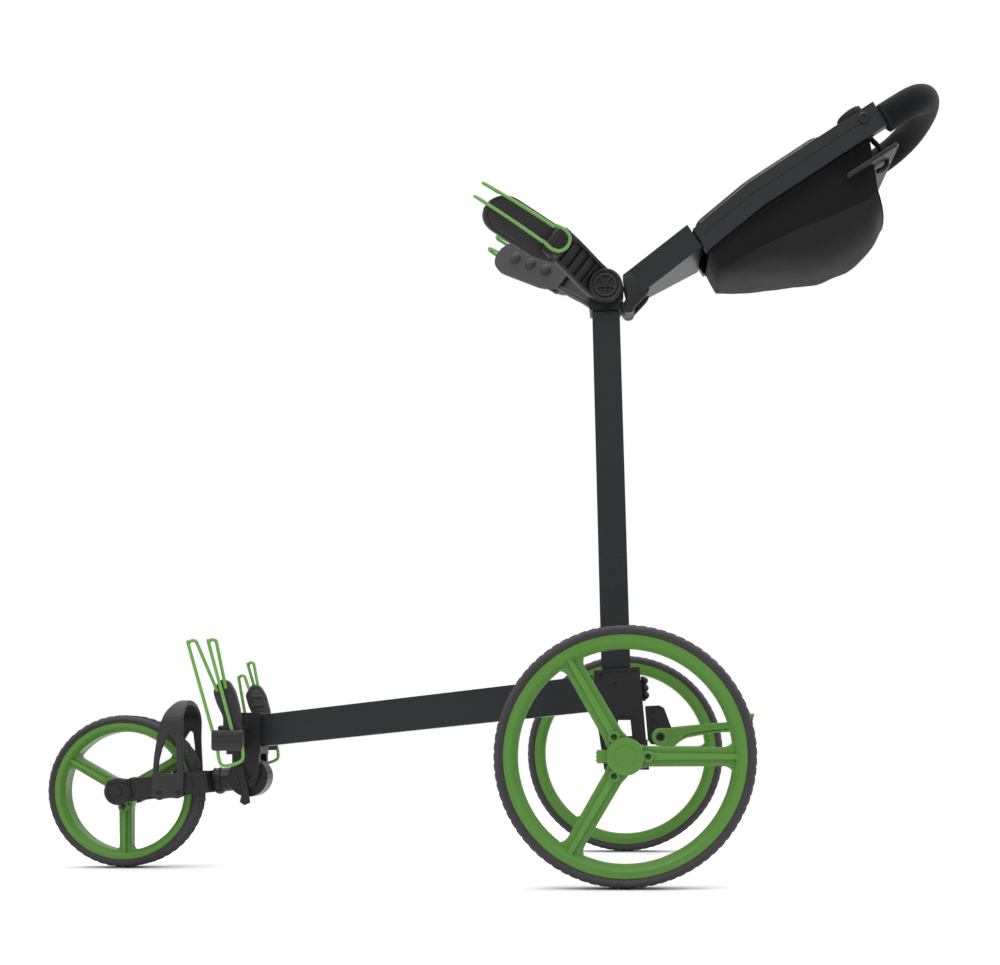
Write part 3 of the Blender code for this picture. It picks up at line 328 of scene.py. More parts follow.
def plate(name, outlines, y0, y1, matrix, body, look, edge=0.001):
    """A plate in the frame's x-z plane with rounded edges; later outlines are windows."""
    curve = bpy.data.curves.new(name, "CURVE")
    curve.dimensions = "2D"
    curve.fill_mode = "BOTH"
    curve.extrude = abs(y1 - y0) / 2 - edge
    curve.bevel_depth = edge
    curve.bevel_resolution = 2
    curve.offset = -edge
    for points in outlines:
        spline = curve.splines.new("POLY")
        spline.points.add(len(points) - 1)
        for point, (x, z) in zip(spline.points, points):
            point.co = (x, z, 0, 1)
        spline.use_cyclic_u = True
    stand = Matrix.Translation((0, (y0 + y1) / 2, 0)) @ Matrix.Rotation(math.pi / 2, 4, "X")
    bm = curve_mesh(name, curve)
    return piece(name, bm, matrix @ stand, body, look)


def plan_plate(name, outlines, z0, z1, matrix, body, look, edge=0.001):
    """The same in the frame's x-y plane. It lands mirrored, at -z1 to -z0."""
    stand = Matrix.Rotation(-math.pi / 2, 4, "X")
    turned = [[(x, -y) for x, y in points] for points in outlines]
    return plate(name, turned, -z1, -z0, matrix @ stand.inverted(), body, look, edge)


def tube(name, points, radius, matrix, body, look, rounded=True, resolution=4):
    """A round tube along the points, closed by domes."""
    curve = bpy.data.curves.new(name, "CURVE")
    curve.dimensions = "3D"
    curve.bevel_depth = radius
    curve.bevel_resolution = resolution
    curve.use_fill_caps = True
    spline = curve.splines.new("POLY")
    ends = list(points)
    taper = [1.0] * len(ends)
    if rounded:
        start, end = Vector(ends[0]), Vector(ends[-1])
        back = (start - Vector(ends[1])).normalized()
        on = (end - Vector(ends[-2])).normalized()
        caps = [(0.98, 0.2), (0.86, 0.5), (0.6, 0.8), (0.25, 0.97)]
        ends = [start + back * radius * out for size, out in reversed(caps)] + ends
        ends += [end + on * radius * out for size, out in caps]
        sizes = [size for size, _ in caps]
        taper = [*reversed(sizes), *taper, *sizes]
    spline.points.add(len(ends) - 1)
    for point, place, size in zip(spline.points, ends, taper):
        point.co = (*place, 1)
        point.radius = size
    return piece(name, curve_mesh(name, curve), matrix, body, look, 50)


def smooth(points, steps=6):
    """Points along a Catmull-Rom curve through the given ones."""
    points = [Vector(p) for p in points]
    held = [points[0], *points, points[-1]]
    made = []
    for a, b, c, d in zip(held, held[1:], held[2:], held[3:]):
        for i in range(steps):
            t = i / steps
            bend = 2 * a - 5 * b + 4 * c - d
            made.append(0.5 * (2 * b + (c - a) * t + bend * t * t) + 0.5 * (3 * b - a - 3 * c + d) * t**3)
    return [*made, points[-1]]


def lathe(name, profile, matrix, body, look, steps=96, closed=True):
    """A ring or a solid turned about the frame's y axis from (radius, offset) points."""
    bm = bmesh.new()
    verts = [bm.verts.new((r, y, 0)) for r, y in profile]
    pairs = list(zip(verts, verts[1:]))
    if closed:
        pairs.append((verts[-1], verts[0]))
    edges = [bm.edges.new(pair) for pair in pairs]
    bmesh.ops.spin(
        bm, geom=[*verts, *edges], cent=(0, 0, 0), axis=(0, 1, 0), angle=2 * math.pi, steps=steps,
        use_merge=True
    )
    return piece(name, bm, matrix, body, look, 35)


def disc(name, radius, y0, y1, matrix, body, look, edge=0.0008, steps=48):
    """A round plate with softened rims, from y0 (back) to y1 (front)."""
    out = 1 if y1 > y0 else -1
    profile = [
        (0, y0), (radius - edge, y0), (radius, y0 + out * edge), (radius, y1 - out * edge),
        (radius - edge * 0.3, y1 - out * edge * 0.3), (radius - edge, y1), (0, y1)
    ]
    return lathe(name, profile, matrix, body, look, steps, closed=False)


def box(name, low, high, matrix, body, look, edge=0.001, segments=3):
    """A block with rounded edges."""
    low, high = Vector(low), Vector(high)
    bm = bmesh.new()
    bmesh.ops.create_cube(bm, size=1.0)
    bmesh.ops.scale(bm, vec=high - low, verts=bm.verts)
    bmesh.ops.bevel(
        bm, geom=bm.edges[:], offset=min(edge, min(high - low) * 0.45), segments=segments, profile=0.5,
        affect="EDGES"
    )
    return piece(name, bm, matrix @ Matrix.Translation((low + high) / 2), body, look, 50)


def arc(x, y, radius, start, end, count):
    """Points along an arc, with angles in degrees."""
    angles = (math.radians(start + (end - start) * i / (count - 1)) for i in range(count))
    return [(x + radius * math.cos(a), y + radius * math.sin(a)) for a in angles]


def rounded(points, radius, steps=5):
    """A closed outline with each corner rounded by about the radius."""
    made = []
    count = len(points)
    for i, point in enumerate(points):
        here = Vector(point)
        before = Vector(points[i - 1]) - here
        after = Vector(points[(i + 1) % count]) - here
        reach = min(radius, before.length * 0.48, after.length * 0.48)
        start, end = here + before.normalized() * reach, here + after.normalized() * reach
        for k in range(steps + 1):
            t = k / steps
            made.append(tuple(start * (1 - t) ** 2 + here * 2 * t * (1 - t) + end * t * t))
    return made


def span(side, a, b):
    """Two distances from the middle as y values on that side, the lower one first."""
    return sorted((side * a, side * b))


def outward(side, profile):
    """A lathe profile with its offsets measured outwards on that side."""
    return [(r, side * y) for r, y in profile]


def mirrored(side, low, high):
    """A box's corners with their y values measured outwards on that side."""
    y0, y1 = span(side, low[1], high[1])
    return (low[0], y0, low[2]), (high[0], y1, high[2])


def screw(name, radius, matrix, out, body, depth=0.0016):
    """A socket-head screw: a domed ring round a dark six-sided recess."""
    ring = [
        (radius * 0.5, 0), (radius, 0), (radius, out * depth * 0.7), (radius * 0.86, out * depth),
        (radius * 0.5, out * depth)
    ]
    lathe(name, ring, matrix, body, PLASTIC, 32)
    disc(name + "_socket", radius * 0.52, 0, out * depth * 0.35, matrix, body, STEEL, 0.0001, 6)


# Wheels.


def tyre_piece(name, radius, rim_radius, matrix, body, node_name):
    """A low solid tyre: a banded side wall, three tread grooves and four rows of lugs."""
    half = 0.0225
    crown = radius - 0.0012
    side = [
        (rim_radius - 0.0004, half - 0.0045), (rim_radius + 0.0018, half - 0.0022),
        (rim_radius + 0.0032, half - 0.0014), (radius - 0.0068, half - 0.0004),
        (radius - 0.0052, half - 0.0006), (radius - 0.0034, half - 0.0022), (crown - 0.0004, half - 0.0062)
    ]
    tread = []
    for middle in (0.011, 0.0, -0.011):
        tread += [
            (crown, middle + 0.0017), (crown - 0.0013, middle + 0.0011), (crown - 0.0013, middle - 0.0011),
            (crown, middle - 0.0017)
        ]
    profile = [*side, *tread, *[(r, -y) for r, y in reversed(side)]]
    made = lathe(name, profile, matrix, body, TYRE, 128)
    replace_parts(made, node_name)
    lugs = bmesh.new()
    count = round(radius * 2 * math.pi / 0.0115)
    for i in range(count):
        for y, shift in ((0.0118, 0.0), (0.004, 0.5), (-0.004, 0.0), (-0.0118, 0.5)):
            turn = Matrix.Rotation((i + shift) * 2 * math.pi / count, 4, "Y")
            skew = Matrix.Rotation(math.copysign(0.35, y), 4, "X")
            place = turn @ Matrix.Translation((radius - 0.0013, y, 0)) @ skew
            size = Matrix.Diagonal((0.0011, 0.0066, 0.0078, 1))
            bmesh.ops.create_cube(lugs, size=1.0, matrix=place @ size)
    bevelled(piece(name + "_lugs", lugs, matrix, body, TREAD, 30), 0.0005, 1)


def spoke_outline(width, hub_radius, rim_radius, fillet):
    """Half a spoke's edge: straight from the hub, then flaring into the rim."""
    half = width / 2
    root = [
        (hub_radius * 0.55, half + 0.0035), (hub_radius * 0.95, half + 0.0022),
        (hub_radius * 1.3, half + 0.0004)
    ]
    flare = arc(rim_radius - fillet, half + fillet, fillet, 270, 360, 7)
    upper = [*root, *flare, (rim_radius + 0.003, half + fillet)]
    return [*upper, *[(x, -z) for x, z in reversed(upper)]]


RIM_HALF = 0.0195
REAR_RADIUS = 0.1475
REAR = {"outer": 0.1362, "opening": 0.1212, "hub": 0.0212, "spoke": 0.0215, "fillet": 0.013}
FRONT_RADIUS = 0.1
FRONT = {"outer": 0.0895, "opening": 0.0778, "hub": 0.0165, "spoke": 0.015, "fillet": 0.009}


def wheel(name, side, centre, sizes, first_spoke, body, node_name):
    """A moulded rim, its three spokes, and a hub with a screw at each spoke's root."""
    place = Matrix.Translation(centre)
    outer, opening, hub = sizes["outer"], sizes["opening"], sizes["hub"]
    lip = outer - (outer - opening) * 0.62
    front = [
        (outer, -RIM_HALF), (outer, RIM_HALF * 0.97), (outer - 0.0006, RIM_HALF), (lip + 0.0012, RIM_HALF),
        (lip, RIM_HALF - 0.0009), (opening + 0.0008, RIM_HALF - 0.0062), (opening, RIM_HALF - 0.0075),
        (opening + 0.0012, 0.0)
    ]
    back = [(opening, 0.0075 - RIM_HALF), (lip, 0.0009 - RIM_HALF), (lip + 0.0012, -RIM_HALF)]
    rim = lathe(name, outward(side, [*front, *back]), place, body, GREEN, 160)
    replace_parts(rim, node_name)
    outline = spoke_outline(sizes["spoke"], hub, opening + 0.0015, sizes["fillet"])
    rib_half = sizes["spoke"] * 0.17
    root, tip = (hub * 0.8, rib_half * 1.15), (lip, rib_half * 0.9)
    rib = rounded([root, tip, (tip[0], -tip[1]), (root[0], -root[1])], 0.001, 2)
    for i in range(3):
        turn = place @ Matrix.Rotation(-math.radians(first_spoke + 120 * i), 4, "Y")
        plate(f"{name}_spoke_{i}", [outline], *span(side, 0.0125, -0.0085), turn, body, GREEN, 0.0022)
        # The front rib takes the lighter green as painted highlight; the back rib keeps the plain green.
        plate(f"{name}_rib_{i}", [rib], *span(side, 0.0095, 0.0166), turn, body, LIT_GREEN, 0.0012)
        plate(f"{name}_back_rib_{i}", [rib], *span(side, -0.0055, -0.0125), turn, body, GREEN, 0.0012)
        spoke_screw(name, i, side, moved(turn, x=hub + 0.004, y=side * 0.014), body)
    profile = [
        (0, -RIM_HALF * 0.98), (hub * 0.82, -RIM_HALF * 0.98), (hub * 0.86, -RIM_HALF * 0.9),
        (hub * 0.95, 0), (hub, 0.0145), (hub, 0.02), (hub - 0.0006, 0.021), (hub - 0.002, 0.0214),
        (hub * 0.62, 0.0217), (hub * 0.6, 0.0212), (0, 0.0212)
    ]
    lathe(name + "_hub", outward(side, profile), place, body, GREEN, 72, closed=False)


def spoke_screw(name, i, side, spot, body):
    """The green boss at a spoke's root, with a steel screw in it."""
    boss = [
        (0, 0), (0.0068, 0), (0.0068, 0.005), (0.006, 0.006), (0.0036, 0.006), (0.0034, 0.0048), (0, 0.0048)
    ]
    lathe(f"{name}_boss_{i}", outward(side, boss), spot, body, GREEN, 36, closed=False)
    disc(f"{name}_screw_{i}", 0.0033, side * 0.0046, side * 0.0053, spot, body, STEEL, 0.0003, 20)


def rear_wheels():
    for side, word in SIDES:
        body = f"{word}_wheel"
        centre = joint_place(f"{word}_wheel_spin")
        matrix = Matrix.Translation(centre)
        tyre_piece(f"tyre_{word}", REAR_RADIUS, REAR["outer"], matrix, body, f"rear_tyre_{word}")
        wheel(f"rim_{word}", side, centre, REAR, 0, body, f"rear_rim_{word}")
        release_tab(word, moved(matrix, y=side * 0.008))


def release_tab(word, place):
    low, high = (-0.032, -0.0075, -0.0075), (-0.015, 0.0075, 0.0075)
    tab = box(f"tab_{word}", low, high, place, f"{word}_tab", GREEN, 0.0016)
    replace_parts(tab, f"release_tab_{word}")
    for i in range(3):
        z = (i - 1) * 0.0042
        low, high = (-0.0328, -0.0062, z - 0.0009), (-0.0312, 0.0062, z + 0.0009)
        # The tab's ridges take the lighter green: painted highlight.
        box(f"tab_ridge_{word}_{i}", low, high, place, f"{word}_tab", LIT_GREEN, 0.0004)


def front_wheel():
    centre = joint_place("front_wheel_spin")
    matrix = Matrix.Translation(centre)
    tyre_piece("tyre_front", FRONT_RADIUS, FRONT["outer"], matrix, "front_wheel", "front_tyre")
    wheel("rim_front", -1, centre, FRONT, 30, "front_wheel", "front_rim")


# Frame, bracket and column.


def frame_details():
    bracket_details()
    block_details()
    lever_ridges()


def bracket_details():
    """The dashes, eyelet, screw and catch on the rear bracket, and the column pin's caps; the dark dashes
    and the dark disc in the eyelet are painted shade in its slots and hole.
    """
    for side, word in SIDES:
        y0, y1 = span(side, 0.0268, 0.0276)
        for i in range(5):
            x = -0.0352 + i * 0.0105
            z = 0.2548 + i * 0.0002
            # Dark dashes for the slots: painted shade.
            box(
                f"bracket_slot_{word}_{i}", (x, y0, z), (x + 0.0078, y1, z + 0.0024), GROUND, "frame", HOLLOW_SHADE,
                0.0003
            )
        hole = moved(GROUND, x=-0.0135, y=side * 0.027, z=0.241)
        lathe(
            f"bracket_eyelet_{word}",
            outward(side, [(0.0022, 0), (0.0038, 0), (0.0038, 0.0006), (0.0033, 0.0009), (0.0022, 0.0009)]),
            hole, "frame", PLASTIC, 28
        )
        # A dark disc in the eyelet: painted shade in the hole.
        disc(f"bracket_hole_{word}", 0.0023, 0, side * 0.0004, hole, "frame", HOLLOW_SHADE, 0.0001, 20)
        screw(
            f"bracket_screw_{word}", 0.003, moved(GROUND, x=-0.005, y=side * 0.027, z=0.1985), side, "frame"
        )
        y0, y1 = span(side, 0.0266, 0.0279)
        box(
            f"bracket_catch_{word}", (0.0, y0, 0.197), (0.006, y1, 0.2005), GROUND, "frame", PLASTIC, 0.0006
        )
    for side, word in SIDES:
        end = moved(
            GROUND, x=joint_place("column_fold").x - AXLE.x, y=side * 0.0272, z=joint_place("column_fold").z
        )
        disc(f"pivot_cap_{word}", 0.0036, 0, side * 0.0028, end, "frame", STEEL, 0.0008, 24)


def block_details():
    """The toothed ring round the fork's pin, its bolt, and the block's ribs."""
    pivot = joint_place("fork_fold")
    for side, word in SIDES:
        y = side * 0.026
        hub = Matrix.Translation(pivot + Vector((0, y, 0)))
        lathe(
            f"ear_ring_{word}",
            outward(side, [(0.0052, 0), (0.0072, 0), (0.0072, 0.0014), (0.0062, 0.002), (0.0052, 0.0016)]),
            hub, "frame", PLASTIC, 40
        )
        teeth = bmesh.new()
        for i in range(12):
            turn = Matrix.Rotation(i * math.pi / 6, 4, "Y")
            size = Matrix.Diagonal((0.0026, 0.0012, 0.003, 1))
            bmesh.ops.create_cube(
                teeth, size=1.0, matrix=turn @ Matrix.Translation((0.0118, side * 0.0003, 0)) @ size
            )
        bevelled(piece(f"ear_teeth_{word}", teeth, hub, "frame", SOFT_PLASTIC, 30), 0.0003)
        screw(f"ear_bolt_{word}", 0.0042, hub, side, "frame", 0.0022)
    collar = side_frame(AXLE + Vector((-0.041, 0, 0.228)), TUBE_ANGLE)
    for side, word in SIDES:
        y0, y1 = span(side, 0.0236, 0.025)
        for i in range(3):
            x = -0.479 + 0.0115 * i
            box(
                f"block_rib_{word}_{i}", (x, y0, -0.0195), (x + 0.0035, y1, 0.0215), collar, "frame",
                PLASTIC, 0.0006
            )


def lever_ridges():
    for i in range(3):
        z = 0.2445 - 0.0095 * i
        x = 0.0251 + 0.0008 * i
        tube(
            f"lever_ridge_{i}", [(x, -0.015, z), (x, 0.0, z), (x, 0.015, z)], 0.0048, GROUND, "fold_lever",
            PLASTIC
        )


def column_details():
    """The spoked cover on the head hinge, the collar's rim and its screw."""
    for side, word in SIDES:
        hub = moved(HEAD, y=side * 0.0372)
        lathe(
            f"cover_ring_{word}",
            outward(
                side,
                [
                    (0.0122, 0), (0.015, 0), (0.015, 0.0012), (0.0142, 0.0018), (0.0128, 0.0018),
                    (0.0122, 0.0012)
                ]
            ),
            hub, "cradle", SOFT_PLASTIC, 56
        )
        lathe(
            f"cover_edge_{word}",
            outward(
                side,
                [(0.0178, -0.0004), (0.0208, -0.0004), (0.0208, 0.0008), (0.02, 0.0014), (0.0178, 0.001)]
            ),
            hub, "cradle", PLASTIC, 64
        )
        for i in range(5):
            turn = hub @ Matrix.Rotation(i * 2 * math.pi / 5 + 0.3, 4, "Y")
            box(
                f"cover_spoke_{word}_{i}", (0.003, min(0, side * 0.0014), -0.001),
                (0.0128, max(0, side * 0.0014), 0.001), turn, "cradle", SOFT_PLASTIC, 0.0004
            )
        screw(f"cover_bolt_{word}", 0.0036, hub, side, "cradle", 0.002)
        screw(
            f"collar_screw_{word}", 0.0022, moved(HEAD, x=0.0015, y=side * 0.0203, z=-0.027), side, "column"
        )


# Front fork.


def fork_details():
    fork_arms()
    arch()
    bar = FORK
    for i, x in enumerate((0.0378, 0.0452)):
        lathe(
            f"collar_lip_{i}", [(0.016, -0.0007), (0.0171, -0.0005), (0.0171, 0.0005), (0.016, 0.0007)],
            bar @ Matrix.Translation((x, 0, 0)) @ Matrix.Rotation(math.pi / 2, 4, "Z"), "roll_collar",
            PLASTIC, 48
        )
    for i in range(3):
        turn = bar @ Matrix.Translation((0.0415, 0, 0)) @ Matrix.Rotation(math.radians(60 + 30 * i), 4, "X")
        box(
            f"collar_tooth_{i}", (-0.0028, 0.0158, -0.0022), (0.0028, 0.0178, 0.0022), turn, "roll_collar",
            PLASTIC, 0.0006
        )


def fork_arms():
    """Each arm's round end cover over the axle, two small screws and a raised panel."""
    for side, word in SIDES:
        end = moved(FORK, x=FORK_LENGTH, y=side * 0.0404)
        lathe(
            f"fork_end_{word}",
            outward(
                side,
                [
                    (0, -0.002), (0.0174, -0.002), (0.0174, 0.0016), (0.0164, 0.0026), (0.012, 0.0028),
                    (0.0116, 0.0022), (0.006, 0.0022), (0.0056, 0.004), (0, 0.004)
                ]
            ),
            end, "fork", PLASTIC, 64, closed=False
        )
        notches = bmesh.new()
        for i in range(4):
            turn = Matrix.Rotation(math.radians(45 + 90 * i), 4, "Y")
            size = Matrix.Diagonal((0.003, 0.0012, 0.0016, 1))
            bmesh.ops.create_cube(
                notches, size=1.0, matrix=turn @ Matrix.Translation((0.015, side * 0.0026, 0)) @ size
            )
        # Dark pieces in the notches: painted shade.
        piece(f"fork_end_notch_shade_{word}", notches, end, "fork", HOLLOW_SHADE, 30)
        for i, z in enumerate((-0.008, 0.008)):
            spot = moved(FORK, x=FORK_LENGTH - 0.015, y=side * 0.0402, z=z)
            screw(f"fork_screw_{word}_{i}", 0.0026, moved(spot, y=side * 0.0024), side, "fork")
        y0, y1 = span(side, 0.0398, 0.0412)
        panel = rounded(
            [
                (0.066, -0.0105), (FORK_LENGTH - 0.022, -0.0105), (FORK_LENGTH - 0.022, 0.0105),
                (0.066, 0.0105)
            ],
            0.003, 4
        )
        plate(f"fork_panel_{word}", [panel], y0, y1, FORK, "fork", PLASTIC, 0.0005)


def arch():
    """The guard over the front wheel: a windowed leg each side and a rounded bow on top."""
    leg = rounded(
        [
            (-0.612, 0.0925), (-0.6065, 0.0912), (-0.6013, 0.0887), (-0.5949, 0.0912), (-0.5846, 0.0922),
            (-0.5762, 0.0908), (-0.5704, 0.096), (-0.5691, 0.128), (-0.5704, 0.1538), (-0.571, 0.1706),
            (-0.5704, 0.194), (-0.5985, 0.194), (-0.6039, 0.1706), (-0.6078, 0.1461), (-0.6095, 0.125)
        ],
        0.004, 4
    )
    window = rounded(
        [
            (-0.6035, 0.124), (-0.6014, 0.1409), (-0.5975, 0.1564), (-0.5923, 0.1693), (-0.586, 0.179),
            (-0.5818, 0.178), (-0.5794, 0.159), (-0.5781, 0.124)
        ],
        0.004, 4
    )
    for side, word in SIDES:
        y0, y1 = span(side, 0.0408, 0.047)
        made = plate(f"arch_leg_{word}", [leg, window], y0, y1, GROUND, "fork", SOFT_PLASTIC, 0.0016)
        if side < 0:
            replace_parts(made, "fork_arch")
        for i, x in enumerate((-0.6013, -0.5765)):
            screw(
                f"arch_screw_{word}_{i}", 0.0029, moved(GROUND, x=x, y=side * 0.047, z=0.099), side, "fork"
            )
    bow()


def bow():
    """A half ellipse from leg to leg, narrower at its crown."""
    bm = bmesh.new()
    rings = []
    for i in range(33):
        turn = math.pi * i / 32
        across, up = -math.cos(turn), math.sin(turn)
        ring = []
        for half, low, high in ((0.047, 0.19, 0.0292), (0.0408, 0.19, 0.0232)):
            y, z = half * across, low + high * up
            front = -0.5985 + 0.013 * up**1.5
            ring += [(front, y, z), (-0.5704 - 0.001 * up, y, z)]
        corners = (ring[0], ring[1], ring[3], ring[2])
        rings.append([bm.verts.new(corner) for corner in corners])
    for a, b in zip(rings, rings[1:]):
        for k in range(4):
            bm.faces.new((a[k], a[(k + 1) % 4], b[(k + 1) % 4], b[k]))
    bm.faces.new(rings[0])
    bm.faces.new(rings[-1][::-1])
    made = piece("arch_bow", bm, GROUND, "fork", SOFT_PLASTIC, 45)
    bevelled(made, 0.0022, 3, 50)


# Cradles and cords.


CRADLE_PATH = [(-0.004, 0.029), (0.022, 0.031), (0.058, 0.056), (0.11, 0.079), (0.166, 0.103)]


FINE_PATH = [tuple(p) for p in smooth([Vector((x, y)) for x, y in CRADLE_PATH], 12)]


def along(distance):
    """The point and the outward direction at a distance along the cradle's arm, in plan."""
    for (ax, ay), (bx, by) in zip(FINE_PATH, FINE_PATH[1:]):
        step = math.hypot(bx - ax, by - ay)
        if distance <= step or (bx, by) == FINE_PATH[-1]:
            break
        distance -= step
    t = distance / step
    return ax + (bx - ax) * t, ay + (by - ay) * t, -(by - ay) / step, (bx - ax) / step


def ribbon(name, stations, side, look, edge, angle=40):
    """A bar along the cradle's path: each station is (distance, low, high, inner, outer)."""
    bm = bmesh.new()
    rings = []
    for distance, low, high, inner, outer in stations:
        x, y, across_x, across_y = along(distance)
        ring = []
        for offset, z in ((inner, low), (outer, low), (outer, high), (inner, high)):
            ring.append(bm.verts.new((x + across_x * offset, side * (y + across_y * offset), z)))
        rings.append(ring)
    for a, b in zip(rings, rings[1:]):
        for i in range(4):
            bm.faces.new((a[i], a[(i + 1) % 4], b[(i + 1) % 4], b[i]))
    bm.faces.new(rings[0])
    bm.faces.new(rings[-1][::-1])
    return bevelled(piece(name, bm, CRADLE, "cradle", look, 40), edge, 3, angle)


PAD_SLOPE = math.tan(math.radians(10))


def pad_middle(distance):
    """How far below the arm's line the pad's middle runs at a distance along the arm."""
    return 0.0105 + PAD_SLOPE * (distance - 0.105)


def leaf(start, end, half, inner, outer, nose=0.024, heel=0.03, count=34):
    """Stations of a paddle with a rounded nose, tapering gently to its heel."""
    made = []
    for i in range(count + 1):
        t = i / count
        s = start + (end - start) * (0.5 - 0.5 * math.cos(math.pi * t))
        shrink = 1.0
        if s > end - nose:
            shrink = max(0.0, 1 - ((s - end + nose) / nose) ** 2.2) ** 0.46
        if s < start + heel:
            shrink = min(shrink, 0.62 + 0.38 * math.sin(0.5 * math.pi * (s - start) / heel))
        shrink = max(shrink, 0.26)
        middle = pad_middle(s)
        made.append((s, middle - half * shrink, middle + half * shrink, inner, outer))
    return made


def upper_cradle(side, word):
    """One arm of the cradle at the column's head, with its pad, buckle and cords."""
    cradle_arm(side, word)
    cradle_pad(side, word)
    upper_buckle(side, word)
    upper_cords(side, word)


def arm_stations(low, high, inner, outer):
    return [(0.006 + 0.0885 * i / 16, low, high, inner, outer) for i in range(17)]


def cradle_arm(side, word):
    """An open channel: a web between two flanges, cross ribs, and a hub round the hinge."""
    web = arm_stations(-0.0165, 0.02, -0.0035, 0.0005)
    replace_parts(ribbon(f"cradle_web_{word}", web, side, PLASTIC, 0.0006), f"cradle_arm_{word}")
    for label, low, high, look in (
        ("top", -0.0195, -0.015, PLASTIC), ("bottom", 0.018, 0.0225, SOFT_PLASTIC)
    ):
        flange = arm_stations(low, high, -0.0065, 0.0072)
        ribbon(f"cradle_flange_{word}_{label}", flange, side, look, 0.0012)
    for i in range(5):
        s = 0.032 + 0.0135 * i
        rib = [(distance, -0.0155, 0.0185, -0.001, 0.0058) for distance in (s, s + 0.0016)]
        ribbon(f"cradle_rib_{word}_{i}", rib, side, SOFT_PLASTIC, 0.0004)
    profile = [
        (0, 0), (0.0215, 0), (0.0222, 0.001), (0.0222, 0.0125), (0.021, 0.0142), (0.0165, 0.0144),
        (0.016, 0.0134), (0, 0.0134)
    ]
    hub = moved(CRADLE, y=side * 0.0228)
    lathe(f"cradle_hub_{word}", outward(side, profile), hub, "cradle", PLASTIC, 72, closed=False)


def square_to_arm(distance, offset, side, z):
    """A frame on the cradle's arm, turned with it and moved outwards by the offset."""
    x, y, across_x, across_y = along(distance)
    place = (x + across_x * offset, side * (y + across_y * offset), z)
    return CRADLE @ Matrix.Translation(place) @ Matrix.Rotation(
        -side * math.atan2(across_x, across_y), 4, "Z"
    )


def cradle_pad(side, word):
    """A stiff shell with a rubber pad inside it and three bumps on the pad."""
    shell = leaf(0.088, 0.183, 0.0222, 0.0002, 0.0062)
    ribbon(f"cradle_shell_{word}", shell, side, SOFT_PLASTIC, 0.0022, 50)
    stations = leaf(0.074, 0.188, 0.0255, -0.0082, -0.0008, 0.028, 0.034)
    pad = ribbon(f"pad_{word}", stations, side, PAD, 0.0024, 50)
    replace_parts(pad, f"cradle_pad_{word}")
    bump_profile = [
        (0, 0.002), (0.0098, 0.002), (0.0094, -0.0004), (0.008, -0.001), (0.007, -0.0034),
        (0.0052, -0.0052), (0.0026, -0.006), (0, -0.0062)
    ]
    for i in range(3):
        distance = 0.108 + 0.0255 * i
        spot = square_to_arm(distance, -0.0078, side, pad_middle(distance))
        lathe(f"pad_bump_{word}_{i}", outward(side, bump_profile), spot, "cradle", PAD, 40, closed=False)


def upper_buckle(side, word):
    spot = square_to_arm(0.093, 0.015, side, 0.0045)

    def block(name, low, high, look, edge, segments=3):
        return box(f"buckle_{name}", low, high, spot, "cradle", look, edge, segments)

    body = block(word, (-0.012, -0.0062, -0.0165), (0.012, 0.0062, 0.0165), SOFT_PLASTIC, 0.0028, 4)
    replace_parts(body, f"upper_buckle_{word}")
    for i, a in enumerate((-0.0062, 0.0, 0.0062)):
        corners = mirrored(side, (a - 0.0011, 0, -0.014), (a + 0.0011, 0.0076, 0.014))
        block(f"ridge_{word}_{i}", *corners, SOFT_PLASTIC, 0.0007)
    block(f"hook_{word}", (-0.0165, -0.0045, -0.02), (-0.004, 0.0045, -0.0135), PLASTIC, 0.0022)
    block(f"foot_{word}", (-0.005, -0.0048, 0.014), (0.011, 0.0048, 0.0215), PLASTIC, 0.0022)
    post = mirrored(side, (-0.006, -0.014, -0.007), (0.006, 0, 0.007))
    block(f"post_{word}", *post, PLASTIC, 0.0012)


CORD_RADIUS = 0.0021


def cord(name, points, side, steps, matrix, body):
    """An elastic cord through (x, distance from the middle, z) points."""
    held = smooth([(x, side * y, z) for x, y, z in points], steps)
    return tube(name, held, CORD_RADIUS, matrix, body, CORD)


def upper_cords(side, word):
    """Two elastic loops reach forward from the buckle, and a tail loops behind it."""
    for i, (root, tip, shift) in enumerate(((-0.003, 0.0095, 0.0), (0.0205, 0.029, -0.002))):
        rise = tip - root
        loop = [
            (0.083, 0.104, root), (0.115, 0.107, root + rise * 0.28), (0.15, 0.1092, root + rise * 0.64),
            (0.178 + shift, 0.1092, tip - rise * 0.07), (0.1842 + shift, 0.108, tip),
            (0.1858 + shift, 0.105, tip - 0.0006), (0.185 + shift, 0.102, tip - 0.0014),
            (0.179 + shift, 0.1, tip - rise * 0.06 - 0.002), (0.166, 0.0975, tip - rise * 0.19 - 0.0024)
        ]
        made = cord(f"upper_cord_{word}_{i}", loop, side, 7, CRADLE, "cradle")
        if i == 0:
            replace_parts(made, f"upper_cord_{word}")
    tail = [
        (0.083, 0.099, 0.0185), (0.07, 0.0965, 0.019), (0.06, 0.094, 0.014), (0.0565, 0.093, 0.004),
        (0.06, 0.094, -0.006), (0.07, 0.097, -0.01), (0.082, 0.1, -0.007)
    ]
    cord(f"upper_tail_{word}", tail, side, 7, CRADLE, "cradle")


LOWER_CORDS = {
    "left": ((-0.544, 0.2915, -0.5165, 0.18), (-0.519, 0.2925, -0.493, 0.185)),
    "right": ((-0.53, 0.256, -0.5195, 0.18), (-0.518, 0.274, -0.4935, 0.185))
}


